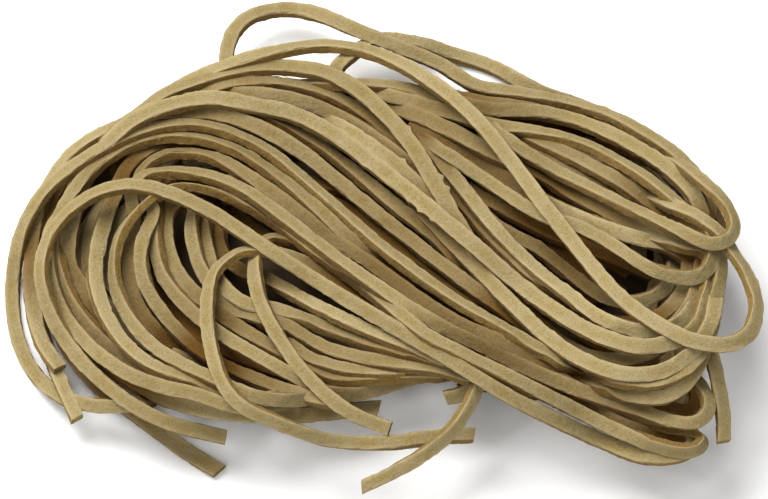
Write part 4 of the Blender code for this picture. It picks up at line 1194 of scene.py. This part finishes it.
def suedeMaterial():
    # Napped leather: cloudy patches, fine fibre grain with pits, and warmer, darker cut sides that are
    # partly their own colour and partly painted shade; a painted highlight on the upper edges, and
    # painted shade where a lace lies under the heap
    material = bpy.data.materials.new("natural_suede")
    material.use_nodes = True
    tree = material.node_tree
    shader = tree.nodes["Principled BSDF"]
    spot = node(tree, "ShaderNodeTexCoord").outputs["Object"]
    tone = node(tree, "ShaderNodeAttribute", attribute_name="tone").outputs["Fac"]
    shadedCutSide = node(tree, "ShaderNodeAttribute", attribute_name="shadedCutSide").outputs["Fac"]
    cloud = ramp(tree, noise(tree, spot, suedeLook["cloudScale"]), suedeLook["cloud"])
    grain = ramp(tree, noise(tree, spot, suedeLook["grainScale"], 3.0, 0.7), suedeLook["grain"])
    pits = ramp(tree, noise(tree, spot, suedeLook["pitScale"]), suedeLook["pits"])
    colour = mixed(tree, cloud, suedeLook["deep"], suedeLook["pale"])
    # The cut sides: partly their own colour, partly painted shade
    colour = mixed(tree, shadedCutSide, colour, suedeLook["shadedCutSide"])
    colour = mixed(tree, 1.0, colour, grain, "MULTIPLY")
    colour = mixed(tree, shadedCutSide, colour, mixed(tree, 1.0, colour, pits, "MULTIPLY"))
    # A painted highlight along the upper edges of the face
    edge = node(tree, "ShaderNodeAttribute", attribute_name="edge").outputs["Fac"]
    colour = mixed(tree, edge, colour, suedeLook["edge"])
    colour = mixed(tree, 1.0, colour, ramp(tree, tone, suedeLook["laceTones"]), "MULTIPLY")
    # Painted shade where a lace lies under the heap around it
    buriedShade = node(tree, "ShaderNodeAttribute", attribute_name="buriedShade").outputs["Fac"]
    colour = mixed(tree, buriedShade, colour, mixed(tree, 1.0, colour, suedeLook["shade"], "MULTIPLY"))
    tree.links.new(colour, shader.inputs["Base Color"])
    shader.inputs["Roughness"].default_value = suedeLook["roughness"]
    shader.inputs["Specular IOR Level"].default_value = suedeLook["specular"]
    shader.inputs["Sheen Weight"].default_value = suedeLook["sheen"]
    shader.inputs["Sheen Roughness"].default_value = suedeLook["sheenRoughness"]
    shader.inputs["Sheen Tint"].default_value = (*suedeLook["sheenTint"], 1)
    nap = node(tree, "ShaderNodeBump", Distance=suedeLook["napBump"], Strength=1.0)
    tree.links.new(noise(tree, spot, suedeLook["napScale"], 5.0, 0.75), nap.inputs["Height"])
    pore = node(tree, "ShaderNodeBump", Distance=suedeLook["poreBump"], Strength=1.0)
    tree.links.new(noise(tree, spot, suedeLook["poreScale"], 4.0), pore.inputs["Height"])
    tree.links.new(nap.outputs["Normal"], pore.inputs["Normal"])
    tree.links.new(pore.outputs["Normal"], shader.inputs["Normal"])
    return material


def coreMaterial():
    # Painted shade: a dull brown dark, as deep gaps between laces look
    material = bpy.data.materials.new("inner_shade")
    material.use_nodes = True
    shader = material.node_tree.nodes["Principled BSDF"]
    shader.inputs["Base Color"].default_value = (*coreShadeLook["colour"], 1)
    shader.inputs["Roughness"].default_value = 1.0
    shader.inputs["Specular IOR Level"].default_value = 0.0
    return material


room = {
    "floor": (0.93, 0.93, 0.925),
    "floorSize": 3.0,  # metres
    "floorRoughness": 0.8,
    "key": dict(at=(-0.45, 0.50, 1.00), size=0.90, power=24.5),
    "fill": dict(at=(-0.5, -0.9, 1.0), size=0.9, power=6.8),
    "sky": 0.45,
}


def makeRoom():
    mesh = bpy.data.meshes.new("floor")
    half = room["floorSize"] / 2
    corners = [(-half, -half, 0), (half, -half, 0), (half, half, 0), (-half, half, 0)]
    mesh.from_pydata(corners, [], [(0, 1, 2, 3)])
    material = bpy.data.materials.new("pale_floor")
    material.use_nodes = True
    shader = material.node_tree.nodes["Principled BSDF"]
    shader.inputs["Base Color"].default_value = (*room["floor"], 1)
    shader.inputs["Roughness"].default_value = room["floorRoughness"]
    mesh.materials.append(material)
    floor = bpy.data.objects.new("floor", mesh)
    bpy.context.scene.collection.objects.link(floor)
    for name in ("key", "fill"):
        light = bpy.data.lights.new(name, "AREA")
        light.size = room[name]["size"]
        light.energy = room[name]["power"]
        lamp = bpy.data.objects.new(name, light)
        lamp.location = room[name]["at"]
        lamp.rotation_euler = (-Vector(room[name]["at"])).to_track_quat("-Z", "Y").to_euler()
        bpy.context.scene.collection.objects.link(lamp)
    world = bpy.data.worlds.new("studio")
    world.use_nodes = True
    world.node_tree.nodes["Background"].inputs["Color"].default_value = (1, 1, 1, 1)
    world.node_tree.nodes["Background"].inputs["Strength"].default_value = room["sky"]
    bpy.context.scene.world = world
    bpy.context.scene.view_settings.view_transform = "Standard"
    print("floor and lights in place")


def makeCamera():
    data = bpy.data.cameras.new("camera")
    data.sensor_width = view["sensor"]
    data.lens = view["sensor"] * view["distance"] / view["frameWidth"]
    data.clip_start, data.clip_end = view["clip"]
    camera = bpy.data.objects.new("camera", data)
    back = Vector((0, -cosView, sinView))
    rise = Vector((0, sinView, cosView))
    across = (view["frameMiddle"][0] - view["centre"][0]) * mm
    up = (view["frameMiddle"][1] - view["centre"][1]) * mm
    camera.location = Vector((across, 0, 0)) + rise * up + back * view["distance"] * mm
    camera.rotation_euler = (-back).to_track_quat("-Z", "Y").to_euler()
    bpy.context.scene.collection.objects.link(camera)
    bpy.context.scene.camera = camera


def makeLaces():
    suede = suedeMaterial()
    paths, seen, core = layBundle()
    print("laid", len(paths), "laces, highest", round(float(seen.height.max()), 1), "mm")
    random = np.random.default_rng(lace["seed"])
    # The laid heap's height and how full it is, each evened over the shade's reach
    surface = HeightMap(*viewField)
    reach = int(suedeLook["shadeReach"] / cell)
    surface.height = boxBlur(seen.height, reach)
    surface.cover = boxBlur((seen.height > suedeLook["coverFrom"]).astype(float), reach)
    total = 0.0
    for name, path in paths:
        thing, path = laceMesh(name, path, surface, suede, random)
        length = float(placeAlong(path)[-1])
        total += length
        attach(thing, "root")
        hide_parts("lace_bundle")
    inside = coreMesh(seen, core, coreMaterial())
    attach(inside, "root")
    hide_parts("lace_bundle")
    print("length of lace in all", round(total / 1000, 2), "m")


makeCamera()
makeLaces()
makeRoom()
